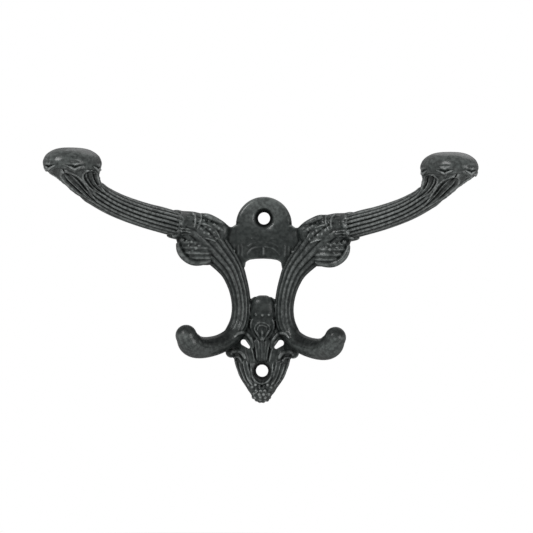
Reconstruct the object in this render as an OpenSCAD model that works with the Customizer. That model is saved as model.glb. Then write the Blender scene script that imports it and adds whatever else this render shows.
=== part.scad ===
// Double hook for hats and coats: one iron casting with a flat back and two screw holes.
// Two reeded arms sweep forward from carved knuckles and end in oval domed caps on petal necks.
// Two reeded stems run down from the knuckles and turn forward as smooth hooks with ball ends.
// Between the stems stand a round ear, a crossbar, a window, a palmette and a pointed leaf.
// X is to the right, Z is up and the wall lies at Y = 0, with the hook on the minus Y side.

/* [Overall] */
// Width over the two caps
overall_width = 190.5; // [170:0.5:210]
// Height from the tip of the leaf to the top of the caps
overall_height = 114.3; // [105:0.1:125]
// How far the caps stand out from the wall
projection = 70; // [60:0.5:80]

/* [Screw holes] */
// Distance between the two screw holes
hole_spacing = 70; // [66:0.5:74]
// Diameter of both screw holes
hole_diameter = 5.6; // [4.5:0.1:6.2]
// Diameter of the upper countersink at the face of the ear
upper_sink_diameter = 10.6; // [8:0.1:12]
// Diameter of the lower countersink at the bottom of its hollow
lower_sink_diameter = 8.2; // [7:0.1:9]
// Depth of both countersinks below their face
sink_depth = 2.4; // [1:0.1:3]

/* [Ear and web] */
// Thickness of the ear at the top
ear_thickness = 5.4; // [4.5:0.1:7]
// Radius of the round ear
ear_radius = 12.8; // [11:0.1:14]
// How far the middle of the ear lies below the upper hole
ear_drop = 2.9; // [1:0.1:4]
// Thickness of the crossbar below the ear
crossbar_thickness = 4.9; // [3.5:0.1:6]
// Thickness of the web between the stems
web_thickness = 4.2; // [3:0.1:5.5]

/* [Arms] */
// Thickness of an arm, measured over its reeds
arm_thickness = 11.4; // [9:0.1:13]
// Reeds round an arm
reed_count = 18; // [12:6:24]
// Depth of the grooves between the reeds
reed_depth = 0.62; // [0.2:0.02:1]
// Depth of the six hollow petals below a cap
petal_depth = 1.3; // [0.2:0.05:1.6]
// How far the leaf points of the collar reach along an arm
collar_point = 1.8; // [0:0.1:3]

/* [Caps] */
// Length of a cap along its arm
cap_length = 28.4; // [22:0.2:32]
// Width of a cap across its arm
cap_width = 22.4; // [18:0.2:26]
// Height of the dome above its widest line
cap_rise = 8; // [5:0.1:12]
// Depth of the lip below the widest line
lip_depth = 1.6; // [0.5:0.1:3]
// How much lower the lip hangs at the points between the petals
lip_point = 1.3; // [0:0.1:3]

/* [Knuckles] */
// How far the shoulder stands out above a stem
shoulder_thickness = 9.6; // [7:0.1:11]
// How far the rolled leaf below a knuckle stands out
lobe_thickness = 12.4; // [9:0.1:14]
// Depth of the ribs across the rolled leaf
lobe_rib = 0.5; // [0:0.05:1]
// Thickness of the rolled rim round that leaf
lobe_rim = 2.6; // [1.6:0.1:3.4]

/* [Stems and lower hooks] */
// Width of a stem where it is narrowest
stem_width = 8.6; // [7:0.1:10]
// How far the middle of a stem lies from its front
stem_depth = 8.2; // [6:0.1:10]
// Depth of the grooves along a stem
stem_groove = 0.75; // [0.2:0.02:1]
// Thickness of a lower hook
rod_diameter = 8.6; // [7:0.1:10]
// Diameter of the ball at the end of a lower hook
ball_diameter = 9.7; // [8:0.1:12]

/* [Leaf and palmette] */
// Thickness of the leaf along its swollen sides
leaf_thickness = 6.2; // [5:0.1:8]
// Thickness in the hollow round the lower hole
hollow_thickness = 4; // [3:0.1:5]
// Thickness of the leaf at its edge
edge_thickness = 2.2; // [1.5:0.1:4]
// Depth of the flutes down the leaf
leaf_groove = 0.45; // [0:0.05:0.8]
// Thickness of the palmette between the stems
palmette_thickness = 7.4; // [5.5:0.1:9]
// Thickness of the fan above the lower hole
fan_thickness = 6.6; // [5:0.1:8]
// Thickness of the folds that arch over the two small openings
fold_width = 2.4; // [1.4:0.1:3]
// Thickness of the raised rim round the hollow
rim_width = 2; // [1:0.1:3]
// Diameter of a bead
bead_diameter = 2; // [1.4:0.1:2.8]
// Thickness of a fine line of the ornament
line_width = 1.3; // [0.8:0.1:2]
// Width of a small opening at its round end
opening_width = 2.9; // [2:0.1:3.4]
// Length of a small opening
opening_length = 5.2; // [4:0.1:6]

/* [Hidden] */

overrun = 1;
half_span = overall_width / 2;
top_share = 0.56;
top_z = overall_height * top_share;
tip_z = top_z - overall_height;
cap_z = top_z - cap_rise;
hole_z = hole_spacing / 2;
ear_z = hole_z - ear_drop;
right_angle = 90;
iron = [0.16, 0.17, 0.16];

// The knuckle in plan: across as a share of the half span, out as a share of the projection
knuckle_plan_shares = [0.4, 0.115];
knuckle_xy = [half_span * knuckle_plan_shares[0], -projection * knuckle_plan_shares[1]];

// The cap in plan, set so that it just reaches the full width and the full projection
function way_to(cap) = (cap - knuckle_xy) / norm(cap - knuckle_xy);
function cap_for(way) = [
    half_span - norm([cap_length * way[0], cap_width * way[1]]) / 2,
    norm([cap_length * way[1], cap_width * way[0]]) / 2 - projection];
cap_xy = cap_for(way_to(cap_for(way_to([half_span, -projection]))));
arm_way = way_to(cap_xy);
arm_run = norm(cap_xy - knuckle_xy);

// Each row of an arm: along its run, up as a share of the height, pitch as a share of a right angle,
// half height and half width as shares of half its thickness, strength of the reeds, of the petals
arm_row_shares = [
    [0.02, 0.275, 0.12, 1.02, 0.97, 1, 0],
    [0.18, 0.293, 0.14, 1.04, 0.96, 1, 0],
    [0.32, 0.307, 0.15, 1.01, 0.94, 1, 0],
    [0.48, 0.327, 0.18, 0.98, 0.93, 1, 0],
    [0.62, 0.349, 0.25, 0.96, 0.92, 1, 0],
    [0.75, 0.377, 0.42, 0.98, 0.95, 1, 0],
    [0.85, 0.407, 0.6, 1.1, 1.04, 0.8, 0.4],
    [0.92, 0.441, 0.78, 1.52, 1.28, 0.5, 1],
    [0.965, 0.466, 0.92, 2.06, 1.62, 0.3, 1],
    [0.99, 0.482, 1, 2.3, 1.78, 0, 0.6]
];
arm_steps = 17;
sleeve_row_shares = [
    [-0.17, 0.255, 0.04, 1.0, 0.84, 0, 0],
    [-0.1, 0.263, 0.08, 1.13, 0.96, 0, 0],
    [-0.02, 0.271, 0.11, 1.17, 1.02, 0, 0],
    [0.05, 0.278, 0.12, 1.17, 1.07, 0, 0],
    [0.062, 0.28, 0.13, 1.04, 0.96, 0, 0]
];
sleeve_steps = 6;
sleeve_points = 20;
cap_points = 24;

// Rings of a cap from its lip to its crown: reach and rise
cap_ring_shares = [[0.99, 0], [1, 0.14], [0.97, 0.36], [0.89, 0.58], [0.73, 0.79], [0.5, 0.93], [0.22, 1]];
lip_in_share = 0.76;
lip_out_share = 0.95;
lip_tuck_share = 0.07;

// Each row of a stem: across and up as shares of the half span and of the height,
// width as a share of the stem width, how far its middle and its front stand out
// as shares of the stem depth, strength of the grooves
stem_row_shares = [
    [0.175, -0.19, 0.8, 0.88, 0.42, 0],
    [0.135, -0.152, 0.98, 0.66, 0.52, 0.4],
    [0.11, -0.108, 1.04, 0.48, 0.54, 1],
    [0.103, -0.055, 1.03, 0.42, 0.56, 1],
    [0.11, 0.0, 1.06, 0.4, 0.58, 1],
    [0.127, 0.052, 1.15, 0.42, 0.6, 1],
    [0.155, 0.105, 1.34, 0.44, 0.68, 1],
    [0.205, 0.158, 1.62, 0.5, 0.74, 1],
    [0.266, 0.212, 2.0, 0.62, 0.82, 1],
    [0.33, 0.256, 1.9, 0.8, 0.88, 0.8],
    [0.39, 0.272, 1.4, 0.98, 0.7, 0]
];
stem_steps = 18;
stem_points = 28;

// Each row of a lower hook: across, out and up, and thickness as a share of the rod
hook_row_shares = [
    [0.105, 0.05, -0.085, 0.5], [0.121, 0.07, -0.137, 0.84], [0.155, 0.1, -0.174, 0.96],
    [0.203, 0.156, -0.2, 0.98], [0.262, 0.236, -0.215, 1], [0.308, 0.3, -0.215, 1.08],
    [0.338, 0.346, -0.198, 1.26], [0.35, 0.36, -0.172, 1.14]
];
hook_steps = 13;
hook_points = 14;
ball_shares = [0.353, 0.36, -0.163];

// A value taken along a table of rows by a smooth curve through them
function between(a, b, c, d, t) =
    (2 * b + (c - a) * t + (2 * a - 5 * b + 4 * c - d) * t * t
    + (3 * b - a - 3 * c + d) * t * t * t) / 2;
function row_at(rows, s) =
    let (last = len(rows) - 1, i = min(floor(s), last - 1))
    between(rows[max(i - 1, 0)], rows[i], rows[i + 1], rows[min(i + 2, last)], s - i);
function rows_along(rows, steps) =
    [for (k = [0:steps - 1]) row_at(rows, k * (len(rows) - 1) / (steps - 1))];

// The skin over a list of rings that all have n points, with a fan at each end
function skin_faces(count, n) = concat(
    [for (k = [0:count - 2], i = [0:n - 1])
        let (a = k * n + i, b = k * n + (i + 1) % n) [a, b, b + n]],
    [for (k = [0:count - 2], i = [0:n - 1])
        let (a = k * n + i, b = k * n + (i + 1) % n) [a, b + n, a + n]],
    [for (i = [0:n - 1]) [count * n, (i + 1) % n, i]],
    [for (i = [0:n - 1]) [count * n + 1, (count - 1) * n + i, (count - 1) * n + (i + 1) % n]]);
function middle(ring) = [for (i = [0:len(ring) - 1]) 1] * ring / len(ring);
module skin(rings) {
    n = len(rings[0]);
    count = len(rings);
    polyhedron(
        points = concat([for (r = rings) each r], [middle(rings[0]), middle(rings[count - 1])]),
        faces = skin_faces(count, n), convexity = 6);
}

// A round bar through rows of across, out, up and thickness, its rings square to its path
function spot(row) = [row[0], row[1], row[2]];
function bar_ring(row, way, n) =
    let (side = cross(way, [0, 1, 0]), flat = side / norm(side), over = cross(flat, way))
    [for (i = [0:n - 1])
        let (angle = i * 360 / n)
        spot(row) + (flat * cos(angle) + over * sin(angle)) * row[3] / 2];
module bar(rows, n) {
    last = len(rows) - 1;
    skin([for (k = [0:last])
        let (step = spot(rows[min(k + 1, last)]) - spot(rows[max(k - 1, 0)]))
        bar_ring(rows[k], step / norm(step), n)]);
}

// A line of the ornament: rows of across and up, how far out and how thick, all as shares
line_points = 6;
module line(shares, out, width, steps) {
    bar(rows_along([for (s = shares)
        [s[0] * half_span, -s[2] * out, s[1] * overall_height, s[3] * width]], steps), line_points);
}

// One ring of an arm: angle zero points down, and outward where the arm has turned up
function reed_wave(i) = i % 2 == 0 ? 0 : 1;
petal_count = 6;
function petal_wave(angle) = pow(abs(sin(petal_count / 2 * angle)), 0.7);
function arm_ring(row, n, reach = 0) =
    let (pitch = row[2] * right_angle,
        along = [arm_way[0] * sin(pitch), arm_way[1] * sin(pitch), -cos(pitch)],
        across = [-arm_way[1], arm_way[0], 0],
        at = [knuckle_xy[0] + arm_way[0] * row[0] * arm_run,
            knuckle_xy[1] + arm_way[1] * row[0] * arm_run, row[1] * overall_height])
    [for (i = [0:n - 1])
        let (angle = -i * 360 / n,
            dip = reed_depth * row[5] * reed_wave(i) + petal_depth * row[6] * petal_wave(angle),
            high = row[3] * arm_thickness / 2 - dip,
            wide = row[4] * arm_thickness / 2 - dip)
        at + along * high * cos(angle) + across * wide * sin(angle)
        + [arm_way[0], arm_way[1], 0] * reach * reed_wave(i)];

module arm() {
    skin([for (row = rows_along(arm_row_shares, arm_steps)) arm_ring(row, reed_count * 2)]);
}

// The smooth sleeve that an arm grows from, with leaf points round its end
module sleeve() {
    rows = rows_along(sleeve_row_shares, sleeve_steps);
    skin([for (k = [0:sleeve_steps - 1])
        arm_ring(rows[k], sleeve_points, k < sleeve_steps - 2 ? 0 : collar_point)]);
}

// One ring of a cap, flat but for its hanging points, which tuck in towards the neck
function cap_ring(reach, z, hang) =
    let (across = [-arm_way[1], arm_way[0], 0])
    [for (i = [0:cap_points - 1])
        let (angle = -i * 360 / cap_points,
            point = hang * (1 - petal_wave(angle)),
            tucked = reach - lip_tuck_share * point)
        [cap_xy[0], cap_xy[1], z - lip_point * point]
        + [arm_way[0], arm_way[1], 0] * tucked * cap_length / 2 * cos(angle)
        + across * tucked * cap_width / 2 * sin(angle)];

module cap() {
    skin(concat(
        [cap_ring(lip_in_share, cap_z - lip_depth, 1)],
        [cap_ring(lip_out_share, cap_z - lip_depth, 1)],
        [for (r = cap_ring_shares) cap_ring(r[0], cap_z + r[1] * cap_rise, 0)]));
}

// One ring of a stem: a rounded section standing across the path of the stem
function stem_at(row) = [row[0] * half_span, row[1] * overall_height];
function stem_ring(row, way) =
    [for (i = [0:stem_points - 1])
        let (angle = i * 360 / stem_points,
            dip = stem_groove * row[5] * reed_wave(i),
            wide = row[2] * stem_width / 2 - dip,
            deep = row[4] * stem_depth - dip)
        [row[0] * half_span + way[1] * wide * cos(angle),
            -row[3] * stem_depth - deep * sin(angle),
            row[1] * overall_height - way[0] * wide * cos(angle)]];

module stem() {
    rows = rows_along(stem_row_shares, stem_steps);
    skin([for (k = [0:stem_steps - 1])
        let (step = stem_at(rows[min(k + 1, stem_steps - 1)]) - stem_at(rows[max(k - 1, 0)]))
        stem_ring(rows[k], step / norm(step))]);
}

// A lower hook: a smooth round rod, and the ball at its end
module lower_hook() {
    bar(rows_along([for (s = hook_row_shares)
        [s[0] * half_span, -s[1] * projection, s[2] * overall_height, s[3] * rod_diameter]],
        hook_steps), hook_points);
    translate([ball_shares[0] * half_span, -ball_shares[1] * projection, ball_shares[2] * overall_height])
        sphere(d = ball_diameter, $fn = 24);
}

// A raised form: an outline past the wall face that closes in as it rises to its front
crown_shares = [[1, 0], [1, 0.5], [0.93, 0.74], [0.77, 0.91], [0.5, 0.99]];
edge_shares = [[1, 0], [1, 0.55], [0.97, 0.78], [0.91, 0.93], [0.8, 1]];
ear_points = 40;
module raised(outline, front, profile_shares) {
    centre = middle(outline);
    skin([for (c = profile_shares)
        [for (p = outline)
            let (q = centre + (p - centre) * c[0])
            [q[0], c[1] == 0 ? overrun : -front * c[1], q[1]]]]);
}
function placed(shares) = [for (p = shares) [p[0] * half_span, p[1] * overall_height]];
// The same outline with its mirror image, for one that begins and ends on the middle line
function both_sides(shares) = concat(placed(shares),
    [for (i = [len(shares) - 2:-1:1]) [-shares[i][0] * half_span, shares[i][1] * overall_height]]);

// A form of level rings: each goes over its front from left to right and back along the wall
function level_ring(z, left, right, fronts) =
    let (last = len(fronts) - 1, half = (right - left) / 2)
    concat(
        [[left, overrun, z]],
        [for (i = [0:last]) [left + half - half * cos(180 * i / last), -fronts[i], z]],
        [[right, overrun, z]]);
function domed(front, edge, groove, columns) =
    [for (i = [0:columns])
        edge + (front - edge) * pow(sin(180 * i / columns), 0.7) - groove * reed_wave(i)];

// Outlines as shares of the half span and of the height
shoulder_shares = [
    [0.16, 0.254], [0.166, 0.271], [0.191, 0.285], [0.215, 0.297], [0.256, 0.315], [0.298, 0.324],
    [0.311, 0.313], [0.319, 0.28], [0.315, 0.236], [0.283, 0.192], [0.21, 0.188], [0.168, 0.219]
];
knuckle_shares = [
    [0.298, 0.311], [0.325, 0.327], [0.378, 0.331], [0.42, 0.329], [0.429, 0.297], [0.426, 0.254],
    [0.414, 0.21], [0.378, 0.184], [0.315, 0.184], [0.294, 0.236]
];
knuckle_front_share = 0.95;

// Each row of the rolled leaf: up, its two edges, how far it stands out
lobe_row_shares = [
    [0.227, 0.273, 0.425, 0.9], [0.206, 0.252, 0.416, 1], [0.184, 0.241, 0.407, 1.02],
    [0.162, 0.236, 0.395, 1], [0.142, 0.237, 0.377, 0.94], [0.124, 0.244, 0.356, 0.8],
    [0.115, 0.257, 0.338, 0.55]
];
lobe_steps = 13;
lobe_columns = 10;
lobe_edge_share = 0.45;
lobe_rim_shares = [
    [0.41, 0.203, 0.8, 0.6], [0.402, 0.175, 0.84, 1], [0.384, 0.15, 0.84, 1.1],
    [0.354, 0.131, 0.8, 1.1], [0.322, 0.124, 0.76, 1.1], [0.283, 0.127, 0.76, 1],
    [0.252, 0.135, 0.7, 0.6]
];
lobe_rim_steps = 10;
shoulder_fold_shares = [
    [0.172, 0.266, 0.6, 0.7], [0.2, 0.283, 0.8, 1], [0.235, 0.298, 0.92, 1.2], [0.27, 0.31, 0.95, 1.2],
    [0.3, 0.314, 0.85, 0.8]
];
shoulder_line_shares = [
    [0.176, 0.238, 0.7, 0.7], [0.2, 0.256, 0.9, 1], [0.235, 0.27, 1, 1.2], [0.272, 0.278, 1, 1.1],
    [0.302, 0.276, 0.9, 0.8]
];
// Beads on the rolled leaf, the large one just below the collar, and beads on the head of a stem
lobe_bead_shares = [
    [0.388, 0.219, 0.9, 1.35], [0.342, 0.206, 0.98, 0.6], [0.323, 0.199, 0.98, 0.65],
    [0.304, 0.188, 0.98, 0.6]
];
stem_bead_shares = [
    [0.225, 0.226, 1.22, 0.9], [0.24, 0.239, 1.26, 0.6], [0.266, 0.24, 1.42, 0.65],
    [0.287, 0.243, 1.48, 0.65], [0.271, 0.266, 1.36, 0.6]
];

// The flat web behind the ornament, with its window between the stems
web_shares = [
    [0, 0.144], [0.036, 0.143], [0.068, 0.139], [0.0855, 0.13], [0.0895, 0.109], [0.152, 0.11],
    [0.294, 0.166], [0.357, 0.262], [0.294, 0.315], [0.22, 0.297], [0.165, 0.27], [0.152, 0.27],
    [0.135, 0.28], [0, 0.28]
];
lower_web_shares = [
    [0, -0.014], [0.046, -0.019], [0.062, -0.018], [0.069, 0.004], [0.115, 0.026], [0.136, -0.052],
    [0.132, -0.122], [0.136, -0.21], [0, -0.21]
];

// Each row of the leaf: up, half its width, share of its thickness, strength of the flutes
leaf_row_shares = [
    [-0.114, 0.105, 0.6, 0.3], [-0.149, 0.132, 0.8, 0.4], [-0.184, 0.153, 0.95, 0.6],
    [-0.214, 0.164, 1, 0.8], [-0.236, 0.155, 1, 1], [-0.255, 0.139, 1, 1], [-0.28, 0.132, 1, 1],
    [-0.308, 0.12, 1, 1], [-0.331, 0.109, 0.96, 1], [-0.354, 0.092, 0.9, 1],
    [-0.374, 0.075, 0.8, 0.8], [-0.398, 0.057, 0.6, 0.4], [-0.416, 0.031, 0.4, 0]
];
leaf_columns = 20;
// Each row of the palmette and of the fan: up, half its width, share of its thickness
palmette_row_shares = [
    [-0.003, 0.018, 0.6], [-0.01, 0.035, 0.8], [-0.025, 0.049, 0.95], [-0.048, 0.057, 1],
    [-0.072, 0.059, 0.98], [-0.092, 0.061, 0.9], [-0.122, 0.06, 0.88], [-0.15, 0.046, 0.84],
    [-0.17, 0.026, 0.78], [-0.184, 0.012, 0.6]
];
palmette_columns = 10;
fan_row_shares = [
    [-0.153, 0.026, 0.7], [-0.166, 0.042, 0.86], [-0.19, 0.052, 0.96], [-0.225, 0.046, 0.98],
    [-0.252, 0.038, 0.94], [-0.272, 0.032, 0.7]
];
fan_columns = 12;
fan_groove_share = 1.2;
side_share = 0.5;
palmette_side_share = 0.9;

// Lines of the ornament: across, up, out and thickness
upper_fold_shares = [
    [0.026, -0.136, 1.05, 0.5], [0.052, -0.14, 1.16, 0.9], [0.084, -0.154, 1.2, 1.1],
    [0.118, -0.177, 1.16, 1.2], [0.146, -0.206, 1, 1.25], [0.161, -0.233, 0.8, 1]
];
lower_fold_shares = [
    [0.059, -0.25, 0.95, 0.4], [0.078, -0.233, 1.1, 0.9], [0.107, -0.226, 1.16, 1.15],
    [0.136, -0.233, 1.05, 1.15], [0.149, -0.25, 0.8, 0.9], [0.132, -0.261, 0.75, 0.5]
];
fold_steps = 9;
rim_shares = [
    [-0.054, -0.262, 0.85, 0.7], [-0.057, -0.297, 0.92, 1], [-0.051, -0.329, 0.88, 1],
    [-0.03, -0.353, 0.76, 1], [0, -0.362, 0.68, 1], [0.03, -0.353, 0.76, 1],
    [0.051, -0.329, 0.88, 1], [0.057, -0.297, 0.92, 1], [0.054, -0.262, 0.85, 0.7]
];
rim_steps = 13;
outer_arc_shares = [
    [-0.033, -0.152, 0.72, 0.7], [-0.031, -0.132, 0.8, 1], [-0.018, -0.115, 0.88, 1], [0, -0.109, 0.92, 1],
    [0.018, -0.115, 0.88, 1], [0.031, -0.132, 0.8, 1], [0.033, -0.152, 0.72, 0.7]
];
inner_arc_shares = [
    [-0.019, -0.152, 0.8, 0.7], [-0.016, -0.136, 0.88, 1], [0, -0.127, 0.91, 1],
    [0.016, -0.136, 0.88, 1], [0.019, -0.152, 0.8, 0.7]
];
arc_steps = 9;
drop_shares = [
    [0, -0.152, 0.84, 0.5], [0, -0.16, 0.85, 1.6], [0, -0.17, 0.86, 2], [0, -0.182, 0.86, 1.4],
    [0, -0.192, 0.84, 0.5]
];
bead_row_shares = [[-0.029, -0.079, 0.98], [0, -0.079, 1.03], [0.029, -0.079, 0.98]];
tip_bead_shares = [0.068, -0.367];
ridge_shares = [[0, 0.147, 0.9, 0.8], [0, 0.162, 1, 1.2], [0, 0.19, 1.02, 1.2], [0, 0.206, 1, 0.7]];
bar_line_shares = [
    [-0.15, 0.222, 0.9, 0.7], [-0.1, 0.226, 1, 1], [-0.045, 0.232, 1.06, 1], [0, 0.235, 1.08, 1],
    [0.045, 0.232, 1.06, 1], [0.1, 0.226, 1, 1], [0.15, 0.222, 0.9, 0.7]
];
rib_first_share = 0.088;
rib_step_share = 0.023;
rib_count = 4;
rib_low_share = 0.156;
rib_high_share = 0.21;

// Rings of the berry at the tip: from its top to its foot, and reach
berry_ring_shares = [[0.06, 0.36], [0.22, 0.74], [0.4, 0.97], [0.58, 1], [0.76, 0.86], [0.91, 0.56], [1, 0.2]];
berry_points = 14;
berry_height_share = 0.074;
berry_width_share = 0.051;
berry_depth_share = 0.62;
berry_out_share = 0.42;
berry_dimple_share = 0.84;

// Places of the small openings, and their slant
opening_shares = [0.0803, -0.2];
opening_slant = 42;
opening_narrow_share = 0.55;

module slab(thickness) {
    translate([0, overrun, 0])
        rotate([right_angle, 0, 0])
            linear_extrude(height = thickness + overrun)
                children();
}

module lobe() {
    rows = rows_along(lobe_row_shares, lobe_steps);
    front = lobe_thickness;
    skin([for (k = [0:lobe_steps - 1])
        let (r = rows[k])
        level_ring(r[0] * overall_height, r[1] * half_span, r[2] * half_span,
            domed(r[3] * front - lobe_rib * reed_wave(k), lobe_edge_share * front, 0, lobe_columns))]);
    line(lobe_rim_shares, lobe_thickness, lobe_rim, lobe_rim_steps);
}

module beads(shares, out) {
    for (s = shares)
        translate([s[0] * half_span, -s[2] * out, s[1] * overall_height])
            sphere(d = bead_diameter * s[3], $fn = 24);
}

module half() {
    arm();
    sleeve();
    cap();
    stem();
    lower_hook();
    raised(placed(shoulder_shares), shoulder_thickness, crown_shares);
    raised(placed(knuckle_shares), shoulder_thickness * knuckle_front_share, crown_shares);
    line(shoulder_fold_shares, shoulder_thickness, fold_width, fold_steps);
    line(shoulder_line_shares, shoulder_thickness, fold_width, fold_steps);
    lobe();
    line(upper_fold_shares, leaf_thickness, fold_width, fold_steps);
    line(lower_fold_shares, leaf_thickness, fold_width, fold_steps);
    beads(lobe_bead_shares, lobe_thickness);
    beads(stem_bead_shares, stem_depth);
}

module leaf() {
    skin([for (r = leaf_row_shares)
        level_ring(r[0] * overall_height, -r[1] * half_span, r[1] * half_span,
            [for (i = [0:leaf_columns])
                let (u = abs(cos(180 * i / leaf_columns)))
                r[2] * (hollow_thickness * (1 - u) + edge_thickness * u
                    + (leaf_thickness - (hollow_thickness + edge_thickness) / 2) * sin(180 * pow(u, 1.15)))
                - leaf_groove * r[3] * reed_wave(i)])]);
}

module palmette() {
    skin([for (r = palmette_row_shares)
        level_ring(r[0] * overall_height, -r[1] * half_span, r[1] * half_span,
            domed(r[2] * palmette_thickness, palmette_side_share * web_thickness, 0, palmette_columns))]);
    line(outer_arc_shares, palmette_thickness, line_width, arc_steps);
    line(inner_arc_shares, palmette_thickness, line_width, arc_steps);
    line(drop_shares, palmette_thickness, line_width, arc_steps);
    beads([for (b = bead_row_shares) [b[0], b[1], b[2], 1]], palmette_thickness);
}

module fan() {
    skin([for (r = fan_row_shares)
        level_ring(r[0] * overall_height, -r[1] * half_span, r[1] * half_span,
            domed(r[2] * fan_thickness, side_share * leaf_thickness,
                leaf_groove * fan_groove_share, fan_columns))]);
}

module berry() {
    high = berry_height_share * overall_height;
    wide = berry_width_share * half_span;
    skin([for (k = [0:len(berry_ring_shares) - 1])
        [for (i = [0:berry_points - 1])
            let (r = berry_ring_shares[k],
                angle = -i * 360 / berry_points,
                reach = r[1] * ((i + k) % 2 == 0 ? 1 : berry_dimple_share))
            [wide * reach * cos(angle),
                -leaf_thickness * (berry_out_share + berry_depth_share * reach * sin(angle)),
                tip_z + high * (1 - r[0])]]]);
}

module crossbar() {
    line(ridge_shares, crossbar_thickness, line_width, 5);
    line(bar_line_shares, crossbar_thickness, line_width, arc_steps);
    for (side = [-1, 1], i = [0:rib_count - 1])
        let (across = side * (rib_first_share + i * rib_step_share))
        line([[across, rib_low_share, 0.9, 0.7], [across, (rib_low_share + rib_high_share) / 2, 1, 1],
            [across, rib_high_share, 0.9, 0.7]], crossbar_thickness, line_width, 3);
}

module plate() {
    slab(crossbar_thickness)
        polygon(both_sides(web_shares));
    slab(web_thickness)
        polygon(both_sides(lower_web_shares));
}

module ear() {
    raised([for (i = [0:ear_points - 1])
        [ear_radius * cos(-i * 360 / ear_points), ear_z + ear_radius * sin(-i * 360 / ear_points)]],
        ear_thickness, edge_shares);
}

module casting() {
    half();
    mirror([1, 0, 0])
        half();
    ear();
    plate();
    crossbar();
    palmette();
    leaf();
    fan();
    line(rim_shares, leaf_thickness, rim_width, rim_steps);
    berry();
    beads([for (side = [-1, 1]) [side * tip_bead_shares[0], tip_bead_shares[1], 0.6, 1]], leaf_thickness);
}

module wall_side() {
    translate([-overall_width, 0, -overall_height])
        cube([overall_width * 2, projection, overall_height * 2]);
}

module screw_hole(z, face, sink_diameter) {
    translate([0, 0, z])
        rotate([right_angle, 0, 0]) {
            translate([0, 0, -overrun])
                cylinder(d = hole_diameter, h = projection, $fn = 64);
            translate([0, 0, face - sink_depth])
                cylinder(d1 = hole_diameter, d2 = sink_diameter, h = sink_depth, $fn = 64);
            translate([0, 0, face])
                cylinder(d = sink_diameter, h = projection, $fn = 64);
        }
}

// A drop-shaped opening that slants down toward the middle
module opening() {
    translate([opening_shares[0] * half_span, 0, opening_shares[1] * overall_height])
        rotate([0, -opening_slant, 0])
            translate([0, overrun, 0])
                rotate([right_angle, 0, 0])
                    linear_extrude(height = projection)
                        hull() {
                            translate([(opening_length - opening_width) / 2, 0])
                                circle(d = opening_width, $fn = 20);
                            translate([-(opening_length - opening_width * opening_narrow_share) / 2, 0])
                                circle(d = opening_width * opening_narrow_share, $fn = 20);
                        }
}

module double_hook() {
    color(iron)
        difference() {
            casting();
            wall_side();
            screw_hole(hole_z, ear_thickness, upper_sink_diameter);
            screw_hole(-hole_z, hollow_thickness, lower_sink_diameter);
            opening();
            mirror([1, 0, 0])
                opening();
        }
}

double_hook();
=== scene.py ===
# %% [markdown]
# A cast-iron double hook for hats and coats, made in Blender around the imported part.
# The part gives the sizes and the frame: X to the right, Z up, the wall at Y = 0 and the
# hook on the minus Y side. This first cell loads it and keeps its box, so that the finer
# skin made below can be compared with it at the end.

# %% Load the part and keep its box
import math

import bmesh
import bpy
from mathutils import Matrix, Vector
from mathutils.bvhtree import BVHTree
from mathutils.kdtree import KDTree


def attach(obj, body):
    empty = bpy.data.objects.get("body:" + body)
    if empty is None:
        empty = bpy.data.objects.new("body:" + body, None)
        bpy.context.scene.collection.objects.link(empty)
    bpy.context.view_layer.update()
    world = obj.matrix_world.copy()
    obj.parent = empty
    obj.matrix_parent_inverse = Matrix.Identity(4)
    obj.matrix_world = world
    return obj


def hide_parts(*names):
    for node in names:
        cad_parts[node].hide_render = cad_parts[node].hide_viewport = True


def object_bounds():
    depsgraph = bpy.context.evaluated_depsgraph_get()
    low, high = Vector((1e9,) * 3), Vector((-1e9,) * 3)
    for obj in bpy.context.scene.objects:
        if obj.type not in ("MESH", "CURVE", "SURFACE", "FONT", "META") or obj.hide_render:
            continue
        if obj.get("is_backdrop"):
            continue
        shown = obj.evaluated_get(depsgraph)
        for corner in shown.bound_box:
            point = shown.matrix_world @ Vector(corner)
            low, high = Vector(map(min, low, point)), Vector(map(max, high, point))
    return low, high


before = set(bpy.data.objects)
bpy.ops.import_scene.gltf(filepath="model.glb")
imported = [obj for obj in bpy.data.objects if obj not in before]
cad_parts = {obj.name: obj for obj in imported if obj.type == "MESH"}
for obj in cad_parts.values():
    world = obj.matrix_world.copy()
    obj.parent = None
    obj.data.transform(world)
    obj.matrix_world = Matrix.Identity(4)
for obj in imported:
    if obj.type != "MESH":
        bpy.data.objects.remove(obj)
part_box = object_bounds()
MM = 0.001
TAU = math.tau


def rounded(values, places=4):
    return [round(value, places) for value in values]


def added(name, data):
    """A new object in the scene; its data says what it is, and it says where that stands."""
    thing = bpy.data.objects.new(name, data)
    bpy.context.scene.collection.objects.link(thing)
    return thing


print("part box in metres:", [rounded(corner) for corner in part_box])

# %% [markdown]
# The camera stands straight in front, almost level with the middle of the hook, and far
# enough away for a long lens, because the two caps look the same size in the picture.
# It is turned a little to the side and leans by less than a degree, as the photographer's
# did. Its place is found from one point: where the middle between the screws shows.

# %% Camera
PICTURE = 533
DISTANCE = 1.2
SENSOR = 36.0
FOCAL_PIXELS = 2609.0
PIXEL = DISTANCE / FOCAL_PIXELS
TURN = math.radians(1.9)
LEAN = math.radians(0.75)
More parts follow.
